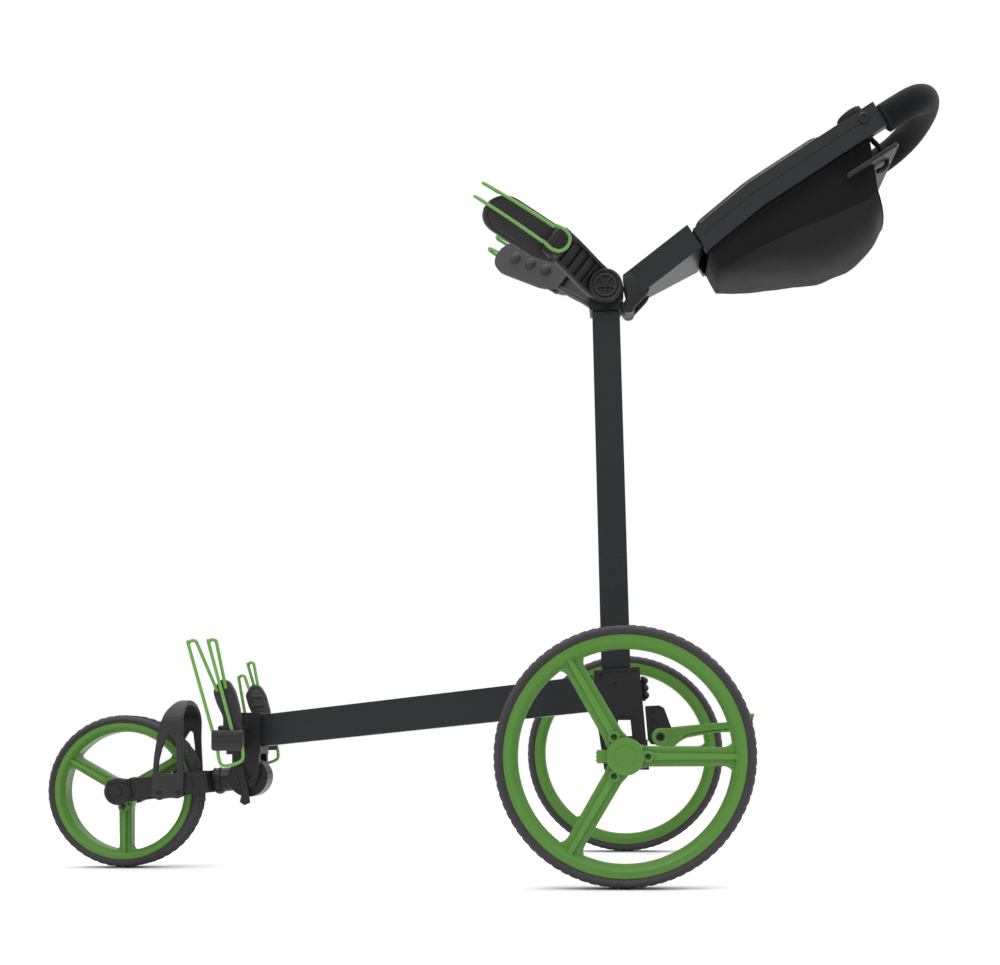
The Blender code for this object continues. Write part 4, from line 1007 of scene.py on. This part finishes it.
def lower_cradle(side, word):
    """A curved horn each side with a clamp buckle and two upright cord loops."""
    horn(side, word)
    horn_root(side, word)
    corners = mirrored(side, (-0.5195, 0.0895, 0.153), (-0.48, 0.1035, 0.179))
    clamp = box(f"clamp_{word}", *corners, GROUND, "frame", SOFT_PLASTIC, 0.0036, 4)
    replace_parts(clamp, f"lower_buckle_{word}")
    for i, z in enumerate((0.16, 0.166, 0.172)):
        ridge = mirrored(side, (-0.517, 0.1015, z), (-0.483, 0.105, z + 0.0022))
        box(f"clamp_ridge_{word}_{i}", *ridge, GROUND, "frame", SOFT_PLASTIC, 0.0008)
    lower_cords(side, word)


def horn(side, word):
    """The upright finger, with a ribbed rubber face towards the middle."""
    finger = [
        (-0.515, 0.156), (-0.489, 0.156), (-0.4855, 0.18), (-0.487, 0.206), (-0.493, 0.229),
        (-0.501, 0.242), (-0.511, 0.244), (-0.521, 0.229), (-0.516, 0.212), (-0.508, 0.196), (-0.508, 0.182)
    ]
    made = plate(
        f"horn_{word}", [rounded(finger, 0.005, 4)], *span(side, 0.0775, 0.0905), GROUND, "frame",
        SOFT_PLASTIC, 0.0032
    )
    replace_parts(made, f"lower_cradle_arm_{word}")
    face = [
        (-0.508, 0.17), (-0.49, 0.17), (-0.488, 0.205), (-0.495, 0.227), (-0.503, 0.237), (-0.513, 0.233),
        (-0.504, 0.205)
    ]
    plate(
        f"horn_pad_{word}", [rounded(face, 0.004, 4)], *span(side, 0.075, 0.0785), GROUND, "frame", PAD,
        0.0012
    )
    for i in range(5):
        x, z = -0.4985 - 0.0011 * i, 0.178 + 0.0115 * i
        rib = mirrored(side, (x - 0.008, 0.0735, z), (x + 0.007, 0.076, z + 0.0042))
        box(f"horn_rib_{word}_{i}", *rib, GROUND, "frame", PAD, 0.0011)


def horn_root(side, word):
    """The bar that joins the horn to the front block."""
    plan = [
        (-0.517, 0.0236), (-0.4895, 0.0236), (-0.4925, 0.042), (-0.493, 0.062), (-0.488, 0.088),
        (-0.515, 0.089), (-0.513, 0.062), (-0.512, 0.042)
    ]
    bm = bmesh.new()
    low, high = ([bm.verts.new((x, side * y, z)) for x, y in plan] for z in (0.157, 0.185))
    bm.faces.new(low)
    bm.faces.new(high[::-1])
    for i in range(len(plan)):
        k = (i + 1) % len(plan)
        bm.faces.new((low[i], low[k], high[k], high[i]))
    bevelled(piece(f"horn_root_{word}", bm, GROUND, "frame", PLASTIC, 35), 0.0028, 3)


HAIRPIN = 0.005


def hairpin(root, tip, end, half, near_y, far_y):
    """A strand up from the root, round a half circle at the tip and down to the end."""
    root, tip, end = Vector(root), Vector(tip), Vector(end)
    up = (tip - root).normalized()
    out = Vector((up.y, -up.x))
    centre = tip - up * half
    points = [(*root, near_y), (*(root + (centre - out * half - root) * 0.5), near_y + 0.002)]
    for i in range(9):
        turn = math.pi * i / 8
        spot = centre - out * half * math.cos(turn) + up * half * math.sin(turn)
        points.append((*spot, near_y + 0.0035 + (far_y - near_y - 0.0035) * 0.35 * i / 8))
    last = centre + out * half
    points.append((*(last + (end - last) * 0.5), (near_y + far_y) / 2))
    points.append((*end, far_y))
    return [(x, y, z) for x, z, y in points]


def lower_cords(side, word):
    """Two upright loops through the clamp, and a tail that hangs below it."""
    ends = ((-0.515, 0.229), (-0.504, 0.233))
    for i, ((tip_x, tip_z, root_x, root_z), end) in enumerate(zip(LOWER_CORDS[word], ends)):
        half = HAIRPIN - 0.0006 * i
        loop = hairpin((root_x, root_z - 0.01), (tip_x, tip_z), end, half, 0.0975, 0.09)
        made = cord(f"lower_cord_{word}_{i}", loop, side, 6, GROUND, "frame")
        if i == 0:
            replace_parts(made, f"lower_cord_{word}")
    tail = [
        (-0.512, 0.0985, 0.16), (-0.5105, 0.1, 0.145), (-0.5065, 0.1005, 0.1355), (-0.498, 0.1005, 0.1345),
        (-0.485, 0.1005, 0.1385), (-0.48, 0.1, 0.144), (-0.481, 0.099, 0.156), (-0.484, 0.0985, 0.164)
    ]
    cord(f"lower_tail_{word}", tail, side, 7, GROUND, "frame")


# Handle.


def both_sides(points):
    return [*[(x, -y) for x, y in points], *reversed(points)]


def neck_cover():
    """Moulded cheeks that close the gap between the neck and the column's head."""
    cheek = rounded(
        [
            (-0.004, 0.77), (0.014, 0.7855), (0.033, 0.7965), (0.042, 0.7905), (0.03, 0.751),
            (0.012, 0.7315), (0.002, 0.7255), (-0.002, 0.733), (0.0015, 0.748)
        ],
        0.005, 4
    )
    for side, word in SIDES:
        y0, y1 = span(side, 0.015, 0.0212)
        plate(f"neck_cheek_{word}", [cheek], y0, y1, GROUND, "handle", PLASTIC, 0.0012)
        pin = Matrix.Translation(joint_place("handle_fold") + Vector((0, side * 0.0212, 0)))
        screw(f"neck_pin_cap_{word}", 0.004, pin, side, "handle", 0.0014)
    roof = [(-0.003, 0.7695), (0.014, 0.785), (0.033, 0.796), (0.0345, 0.793), (0.016, 0.781), (0.0, 0.766)]
    plate("neck_roof", [rounded(roof, 0.001, 2)], -0.016, 0.016, GROUND, "handle", PLASTIC, 0.0006)


LID_TOP = 0.0356


def lid():
    """The lid: a shallow slab whose top draws in a little from its edge."""
    bm = bmesh.new()
    outline = rounded(both_sides([(0.125, 0.057), (0.198, 0.0945), (0.3035, 0.096)]), 0.01, 6)
    low, mid = ([bm.verts.new((x, y, z)) for x, y in outline] for z in (0.0304, 0.0336))
    centre = Vector((0.215, 0.0))
    inner = [centre + (Vector(point) - centre) * 0.965 for point in outline]
    top = [bm.verts.new((*point, LID_TOP)) for point in inner]
    for a, b in ((low, mid), (mid, top)):
        for i in range(len(a)):
            k = (i + 1) % len(a)
            bm.faces.new((a[i], a[k], b[k], b[i]))
    bm.faces.new(top)
    bm.faces.new(low[::-1])
    made = piece("lid", bm, HANDLE, "lid", CONSOLE, 25)
    bevelled(made, 0.0006, 2, 20)
    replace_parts(made, "console_lid")
    panel = rounded(both_sides([(0.142, 0.048), (0.202, 0.079), (0.29, 0.08)]), 0.008, 6)
    inner = rounded(both_sides([(0.145, 0.046), (0.203, 0.0765), (0.287, 0.0775)]), 0.007, 6)
    plan_plate("lid_groove", [panel, inner], 0.035, 0.03565, HANDLE, "lid", GLOSS, 0.0003)


def console():
    """A tray with a hinged lid, a dark seam and a pale edge line that is a painted highlight, a bolted end
    and a knob.
    """
    lid()
    bolt = [
        (0, 0), (0.007, 0), (0.007, 0.0026), (0.006, 0.0036), (0.0034, 0.0036), (0.003, 0.002), (0, 0.002)
    ]
    for side, word in SIDES:
        seam = [(0.203, side * 0.099, 0.0165), (0.3, side * 0.0998, 0.0165), (0.378, side * 0.1004, 0.0165)]
        tube(f"tray_seam_{word}", seam, 0.0007, HANDLE, "handle", GLOSS)
        # A thin pale line along the lid's lower edge: a painted highlight.
        line = [(0.129, side * 0.06, 0.0308), (0.198, side * 0.096, 0.0308), (0.303, side * 0.0972, 0.0308)]
        tube(f"tray_line_{word}", line, 0.0008, HANDLE, "handle", PAINTED_HIGHLIGHT)
        spot = moved(HANDLE, x=0.364, y=side * 0.0998, z=0.0185)
        lathe(f"end_bolt_{word}", outward(side, bolt), spot, "handle", PLASTIC, 40, closed=False)
    cap = rounded(both_sides([(0.307, 0.0995), (0.3845, 0.1005)]), 0.008, 6)
    plan_plate("console_end", [cap], 0.028, 0.0335, HANDLE, "handle", CONSOLE, 0.0016)
    knob()
    hooks()


def knob():
    spot = HANDLE @ Matrix.Translation((0.36, -0.07, 0.0334)) @ Matrix.Rotation(math.pi / 2, 4, "X")
    made = lathe(
        "knob",
        [
            (0, 0.0), (0.0158, 0.0), (0.0166, 0.001), (0.0166, 0.0066), (0.0156, 0.008), (0.012, 0.0086),
            (0.0112, 0.0078), (0.006, 0.0078), (0.005, 0.0088), (0, 0.0088)
        ],
        spot, "knob", PLASTIC, 72, closed=False
    )
    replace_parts(made, "accessory_knob")
    grip = bmesh.new()
    for i in range(30):
        turn = Matrix.Rotation(i * 2 * math.pi / 30, 4, "Y")
        size = Matrix.Diagonal((0.0012, 0.0056, 0.0018, 1))
        bmesh.ops.create_cube(grip, size=1.0, matrix=turn @ Matrix.Translation((0.0166, 0.004, 0)) @ size)
    piece("knob_grip", grip, spot, "knob", SOFT_PLASTIC, 30)


def hooks():
    """Two small hooks under the console's end that hold the net bag's hem."""
    for side, word in SIDES:
        y = side * 0.062
        path = [
            (0.369, y, 0.01), (0.3705, y, 0.0), (0.3735, y, -0.015), (0.3745, y, -0.029),
            (0.37, y, -0.0375), (0.362, y, -0.04), (0.356, y, -0.039)
        ]
        tube(f"bag_hook_{word}", smooth(path, 6), 0.0033, HANDLE, "handle", PLASTIC)


GRIP_Y = 0.093
GRIP_Z = 0.006
GRIP_REACH = 0.465


def grip_path(start, count=40):
    """The U that the foam follows: straight out of one rail, round and back."""
    points = [(start, -GRIP_Y, GRIP_Z), (start + 0.01, -GRIP_Y, GRIP_Z)]
    straight = start + 0.012
    for i in range(count + 1):
        t = math.pi * i / count
        reach = straight + (GRIP_REACH - straight) * math.sin(t) ** 0.72
        points.append((reach, -GRIP_Y * math.copysign(abs(math.cos(t)) ** 0.9, math.cos(t)), GRIP_Z))
    points += [(start + 0.01, GRIP_Y, GRIP_Z), (start, GRIP_Y, GRIP_Z)]
    return points


def grip():
    """The foam loop, with a slight swell."""
    path = smooth(grip_path(0.388), 3)
    foam = tube("foam_loop", path, 0.0183, HANDLE, "handle", FOAM, rounded=False, resolution=10)
    ripple = foam.modifiers.new("soft surface", "DISPLACE")
    cloud = bpy.data.textures.new("foam_cloud", "CLOUDS")
    cloud.noise_scale = 0.03
    ripple.texture = cloud
    ripple.texture_coords = "GLOBAL"
    ripple.strength = 0.0008
    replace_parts(foam, "grip_foam")
    bevelled(foam, 0.0018, 3, 60)


# Storage bag: a sagging shell with a cloth band at the sides and a net below.


BAG_TOP = -0.0042
BAG_EDGE = 0.62  # where the cloth wall meets the net bottom, from the middle to the hem
BAG_CENTRE_LINE = [
    (0.0, 0.034), (0.07, 0.044), (0.44, 0.085), (0.62, 0.1025), (0.8, 0.107), (0.94, 0.1), (1.0, 0.084)
]
BAG_WALL_LINE = [(0.0, 0.024), (0.05, 0.03), (0.28, 0.0366), (0.57, 0.0455), (0.95, 0.061), (1.0, 0.056)]


def value_at(line, t):
    for (a, low), (b, high) in zip(line, line[1:]):
        if t <= b:
            return low + (high - low) * (t - a) / (b - a)
    return line[-1][1]


def smooth_value(line, t, reach=0.04):
    return sum(value_at(line, min(1, max(0, t + reach * k / 3))) for k in range(-3, 4)) / 7


def bag_half_width(t):
    """The bag follows the rails: narrow at the neck, then as wide as the console."""
    return 0.05 + 0.0355 * min(1.0, t / 0.34) ** 0.8


def bag_point(t, across):
    """across runs from -1 (left hem) over the bottom to 1 (right hem)."""
    width = bag_half_width(t)
    wall = smooth_value(BAG_WALL_LINE, t)
    centre = smooth_value(BAG_CENTRE_LINE, t)
    side = math.copysign(1, across)
    climb = abs(across)
    if climb > BAG_EDGE:
        k = (climb - BAG_EDGE) / (1 - BAG_EDGE)
        y = side * (width - 0.004 * (1 - k) ** 2 + 0.0012 * math.sin(k * math.pi))
        n = BAG_TOP - wall * (1 - k)
        lean = 0.42
    else:
        k = climb / BAG_EDGE
        y = side * (width - 0.004) * math.sin(k * math.pi / 2) ** 0.9
        n = BAG_TOP - wall - (centre - wall) * (1 - k**2.2)
        lean = 0.25 + 0.17 * k
    start, end = 0.1225 + 0.12 * n, 0.361 + lean * n
    u = start + (end - start) * t
    crease = noise.noise(Vector((u * 22, y * 16, 3.1))) * 0.003
    crease += noise.noise(Vector((u * 60, y * 45, 9.7))) * 0.0012
    fade = max(0.0, math.sin(math.pi * t)) ** 0.5 * (1 - max(0.0, climb - 0.8) * 4.5)
    n += crease * fade
    if climb > 0.5:
        y += side * crease * 0.5 * fade
    return Vector((u, y, n))


def squash_bag(item):
    """Gives the piece its own copy of its mesh."""
    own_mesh(item)


def bag_end(bm, row):
    """Closes an end of the bag between its left and right halves."""
    middle = len(row) // 2
    left, right = row[: middle + 1], row[middle:][::-1]
    for quad in zip(left, left[1:], right[1:], right):
        corners = list(dict.fromkeys(quad))
        if len(corners) > 2:
            bm.faces.new(corners)


def storage_bag():
    """A shell of cloth walls and a net bottom, with a hem and piping."""
    bm = bmesh.new()
    rows, columns = 46, 56
    places = [-1 + 2 * j / columns for j in range(columns + 1)]
    grid = [[bm.verts.new(bag_point(i / rows, across)) for across in places] for i in range(rows + 1)]
    for i in range(rows):
        for j in range(columns):
            face = bm.faces.new((grid[i][j], grid[i][j + 1], grid[i + 1][j + 1], grid[i + 1][j]))
            face.material_index = 0 if abs(-1 + 2 * (j + 0.5) / columns) > BAG_EDGE else 1
    bag_end(bm, grid[0])
    bag_end(bm, grid[-1])
    bag = piece("net_bag", bm, HANDLE, "handle", (None, "fabric"), 60)
    bag.data.materials.append(FABRIC[0])
    bag.data.materials.append(NET[0])
    thick = bag.modifiers.new("cloth thickness", "SOLIDIFY")
    thick.thickness = 0.0012
    thick.offset = 0
    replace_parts(bag, "storage_bag")
    squash_bag(bag)
    for side, word in SIDES:
        hem = [bag_point(i / 24, side) + Vector((0, side * 0.0004, -0.0012)) for i in range(25)]
        squash_bag(tube(f"bag_hem_{word}", hem, 0.0017, HANDLE, "handle", FABRIC))
        seam = [bag_point(i / 24, side * 0.625) + Vector((0, side * 0.0006, -0.0002)) for i in range(25)]
        squash_bag(tube(f"bag_piping_{word}", seam, 0.001, HANDLE, "handle", FABRIC))
    end = [bag_point(1.0, -1 + 2 * j / 40) for j in range(41)]
    squash_bag(tube("bag_end_piping", end, 0.0012, HANDLE, "handle", FABRIC))


# Brake.


def brake_details():
    """The pedal's side plates and tread bars, its bolts and the housing's screws."""
    pivot = joint_place("brake_press")
    x, z = pivot.x - AXLE.x, pivot.z
    arm = rounded(
        [
            *arc(x, z, 0.0118, 100, 265, 12), (0.0581, 0.1577), (0.064, 0.1583), (0.0711, 0.1648),
            (0.079, 0.1694), (0.092, 0.172), (0.1102, 0.1752), (0.1362, 0.1785), (0.156, 0.1812),
            (0.156, 0.19), (0.1362, 0.1902), (0.1167, 0.1889), (0.0972, 0.1863), (0.0776, 0.1843),
            (0.0581, 0.1824)
        ],
        0.002, 3
    )
    groove = rounded(
        [
            (0.074, 0.1705), (0.08, 0.1742), (0.098, 0.1775), (0.15, 0.1835), (0.15, 0.1822),
            (0.098, 0.1758), (0.081, 0.1726), (0.075, 0.169)
        ],
        0.0006, 2
    )
    for side, word in SIDES:
        y0, y1 = span(side, 0.0246, 0.0282)
        plate(f"pedal_plate_{word}", [arm, groove], y0, y1, GROUND, "brake_pedal", GREEN, 0.0009)
        y0, y1 = span(side, 0.0236, 0.0262)
        plate(f"pedal_web_{word}", [arm], y0, y1, GROUND, "brake_pedal", GREEN, 0.0005)
        hub = Matrix.Translation(pivot + Vector((0, side * 0.0278, 0)))
        # The pedal's boss takes the lighter green: painted highlight.
        lathe(
            f"pedal_boss_{word}",
            outward(side, [(0.0058, 0), (0.0108, 0), (0.0108, 0.001), (0.01, 0.0018), (0.0058, 0.0014)]),
            hub, "brake_pedal", LIT_GREEN, 48
        )
        screw(f"pedal_bolt_{word}", 0.0056, hub, side, "brake_pedal", 0.0022)
        for i, (px, pz) in enumerate(((0.0355, 0.203), (0.0362, 0.193))):
            screw(
                f"housing_screw_{word}_{i}", 0.0024, moved(GROUND, x=px, y=side * 0.0238, z=pz), side,
                "frame"
            )
    # The tread bars take the lighter green: painted highlight.
    for i in range(5):
        x = 0.114 + 0.0098 * i
        box(
            f"pedal_bar_{i}", (x, -0.0215, 0.1868), (x + 0.0042, 0.0215, 0.1892), GROUND, "brake_pedal",
            LIT_GREEN, 0.0009
        )


# Finish of the CAD pieces that stay, then the stage.


def polish_cad():
    classes = {entry["slot"]: entry["class"] for entry in frame["record"]["materials"]}
    slots = {entry["node"]: entry["material_slot"] for entry in frame["record"]["subparts"]}
    special = {"console_tray": CONSOLE, "console_lid": CONSOLE, "brake_pedal": GREEN}
    special |= {"fork_crown": PLASTIC, "release_tab_left": GREEN, "release_tab_right": GREEN}
    for name, obj in NODES.items():
        look = special.get(name, NODE_LOOKS[classes[slots[name]]])
        obj.data.materials.clear()
        obj.data.materials.append(look[0])
        obj.data.shade_smooth()
        obj.data.set_sharp_from_angle(angle=math.radians(32))
        size = min(high - low for low, high in zip(*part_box(name)))
        bevelled(obj, min(0.0016, size * 0.08), 3, 32)


def area_light(name, place, target, size, power):
    data = bpy.data.lights.new(name, "AREA")
    data.shape = "RECTANGLE"
    data.size, data.size_y = size
    data.energy = power
    obj = bpy.data.objects.new(name, data)
    obj.location = place
    obj.rotation_euler = (Vector(target) - Vector(place)).to_track_quat("-Z", "Y").to_euler()
    bpy.context.scene.collection.objects.link(obj)


FLOOR_FADE = (1.1, 2.6)  # the distances over which the floor turns into the white background
LIGHTS = (
    ("key", (-0.9, -1.7, 2.7), 0.4, 1.6, 26), ("top", (0.3, 0.5, 3.0), 0.3, 2.0, 30),
    ("rim", (2.0, 1.4, 1.7), 0.5, 1.0, 16)
)


def floor_material():
    material, tree, shader, place = base_material("pale_floor", 0.55, 0.0, 0.1)
    pale = mix_colour(tree, noise_at(tree, place, 6, 3), (0.86, 0.86, 0.86, 1), (0.89, 0.89, 0.89, 1))
    tree.links.new(pale, shader.inputs["Base Color"])
    glow = node(tree, "ShaderNodeEmission", Strength=1.0)
    blend = node(tree, "ShaderNodeMixShader")
    away = node(tree, "ShaderNodeVectorMath", operation="LENGTH")
    tree.links.new(place, away.inputs[0])
    tree.links.new(ramp(tree, away.outputs["Value"], 0.0, 1.0, *FLOOR_FADE), blend.inputs[0])
    tree.links.new(shader.outputs[0], blend.inputs[1])
    tree.links.new(glow.outputs[0], blend.inputs[2])
    tree.links.new(blend.outputs[0], tree.nodes["Material Output"].inputs["Surface"])
    return material


def stage():
    """A white floor that meets the white background, under soft light from above."""
    bm = bmesh.new()
    bmesh.ops.create_grid(bm, x_segments=1, y_segments=1, size=40)
    floor_mesh = bpy.data.meshes.new("floor")
    bm.to_mesh(floor_mesh)
    bm.free()
    floor = bpy.data.objects.new("floor", floor_mesh)
    floor.location.z = -0.0006
    bpy.context.scene.collection.objects.link(floor)
    floor_mesh.materials.append(floor_material())
    sky()
    for name, place, target_height, size, power in LIGHTS:
        area_light(name, place, (0, 0, target_height), (size, size), power)
    bpy.context.scene.view_settings.view_transform = "Standard"


def sky():
    """White behind the trolley; what lights it is bright overhead and dim at the sides."""
    world = bpy.data.worlds.new("studio")
    world.use_nodes = True
    tree = world.node_tree
    back = tree.nodes["Background"]
    seen = node(tree, "ShaderNodeBackground", Strength=1.0)
    seen.inputs["Color"].default_value = (1, 1, 1, 1)
    place = node(tree, "ShaderNodeTexCoord").outputs["Generated"]
    split = node(tree, "ShaderNodeSeparateXYZ")
    tree.links.new(place, split.inputs[0])
    tree.links.new(ramp(tree, split.outputs["Z"], 0.34, 1.75, 0.0, 0.9), back.inputs["Strength"])
    rays = node(tree, "ShaderNodeLightPath")
    blend = node(tree, "ShaderNodeMixShader")
    tree.links.new(rays.outputs["Is Camera Ray"], blend.inputs[0])
    tree.links.new(back.outputs[0], blend.inputs[1])
    tree.links.new(seen.outputs[0], blend.inputs[2])
    tree.links.new(blend.outputs[0], tree.nodes["World Output"].inputs["Surface"])
    back.inputs["Color"].default_value = (1, 1, 1, 1)
    bpy.context.scene.world = world


CAMERA_HEIGHT = 0.1617
CAMERA_DISTANCE = 2.065


def camera():
    """A level camera at the near side, shifted up and left as the photograph was framed."""
    data = bpy.data.cameras.new("camera")
    data.sensor_width = 36
    data.lens = 56.38
    data.shift_x = -0.12535
    data.shift_y = 0.2614
    data.clip_end = 100
    obj = bpy.data.objects.new("camera", data)
    obj.location = (AXLE.x, -CAMERA_DISTANCE, CAMERA_HEIGHT)
    obj.rotation_euler = (math.pi / 2, 0, 0)
    bpy.context.scene.collection.objects.link(obj)
    bpy.context.scene.camera = obj


rear_wheels()
front_wheel()
frame_details()
column_details()
fork_details()
for hand, label in SIDES:
    upper_cradle(hand, label)
    lower_cradle(hand, label)
neck_cover()
console()
grip()
storage_bag()
brake_details()
polish_cad()
stage()
camera()
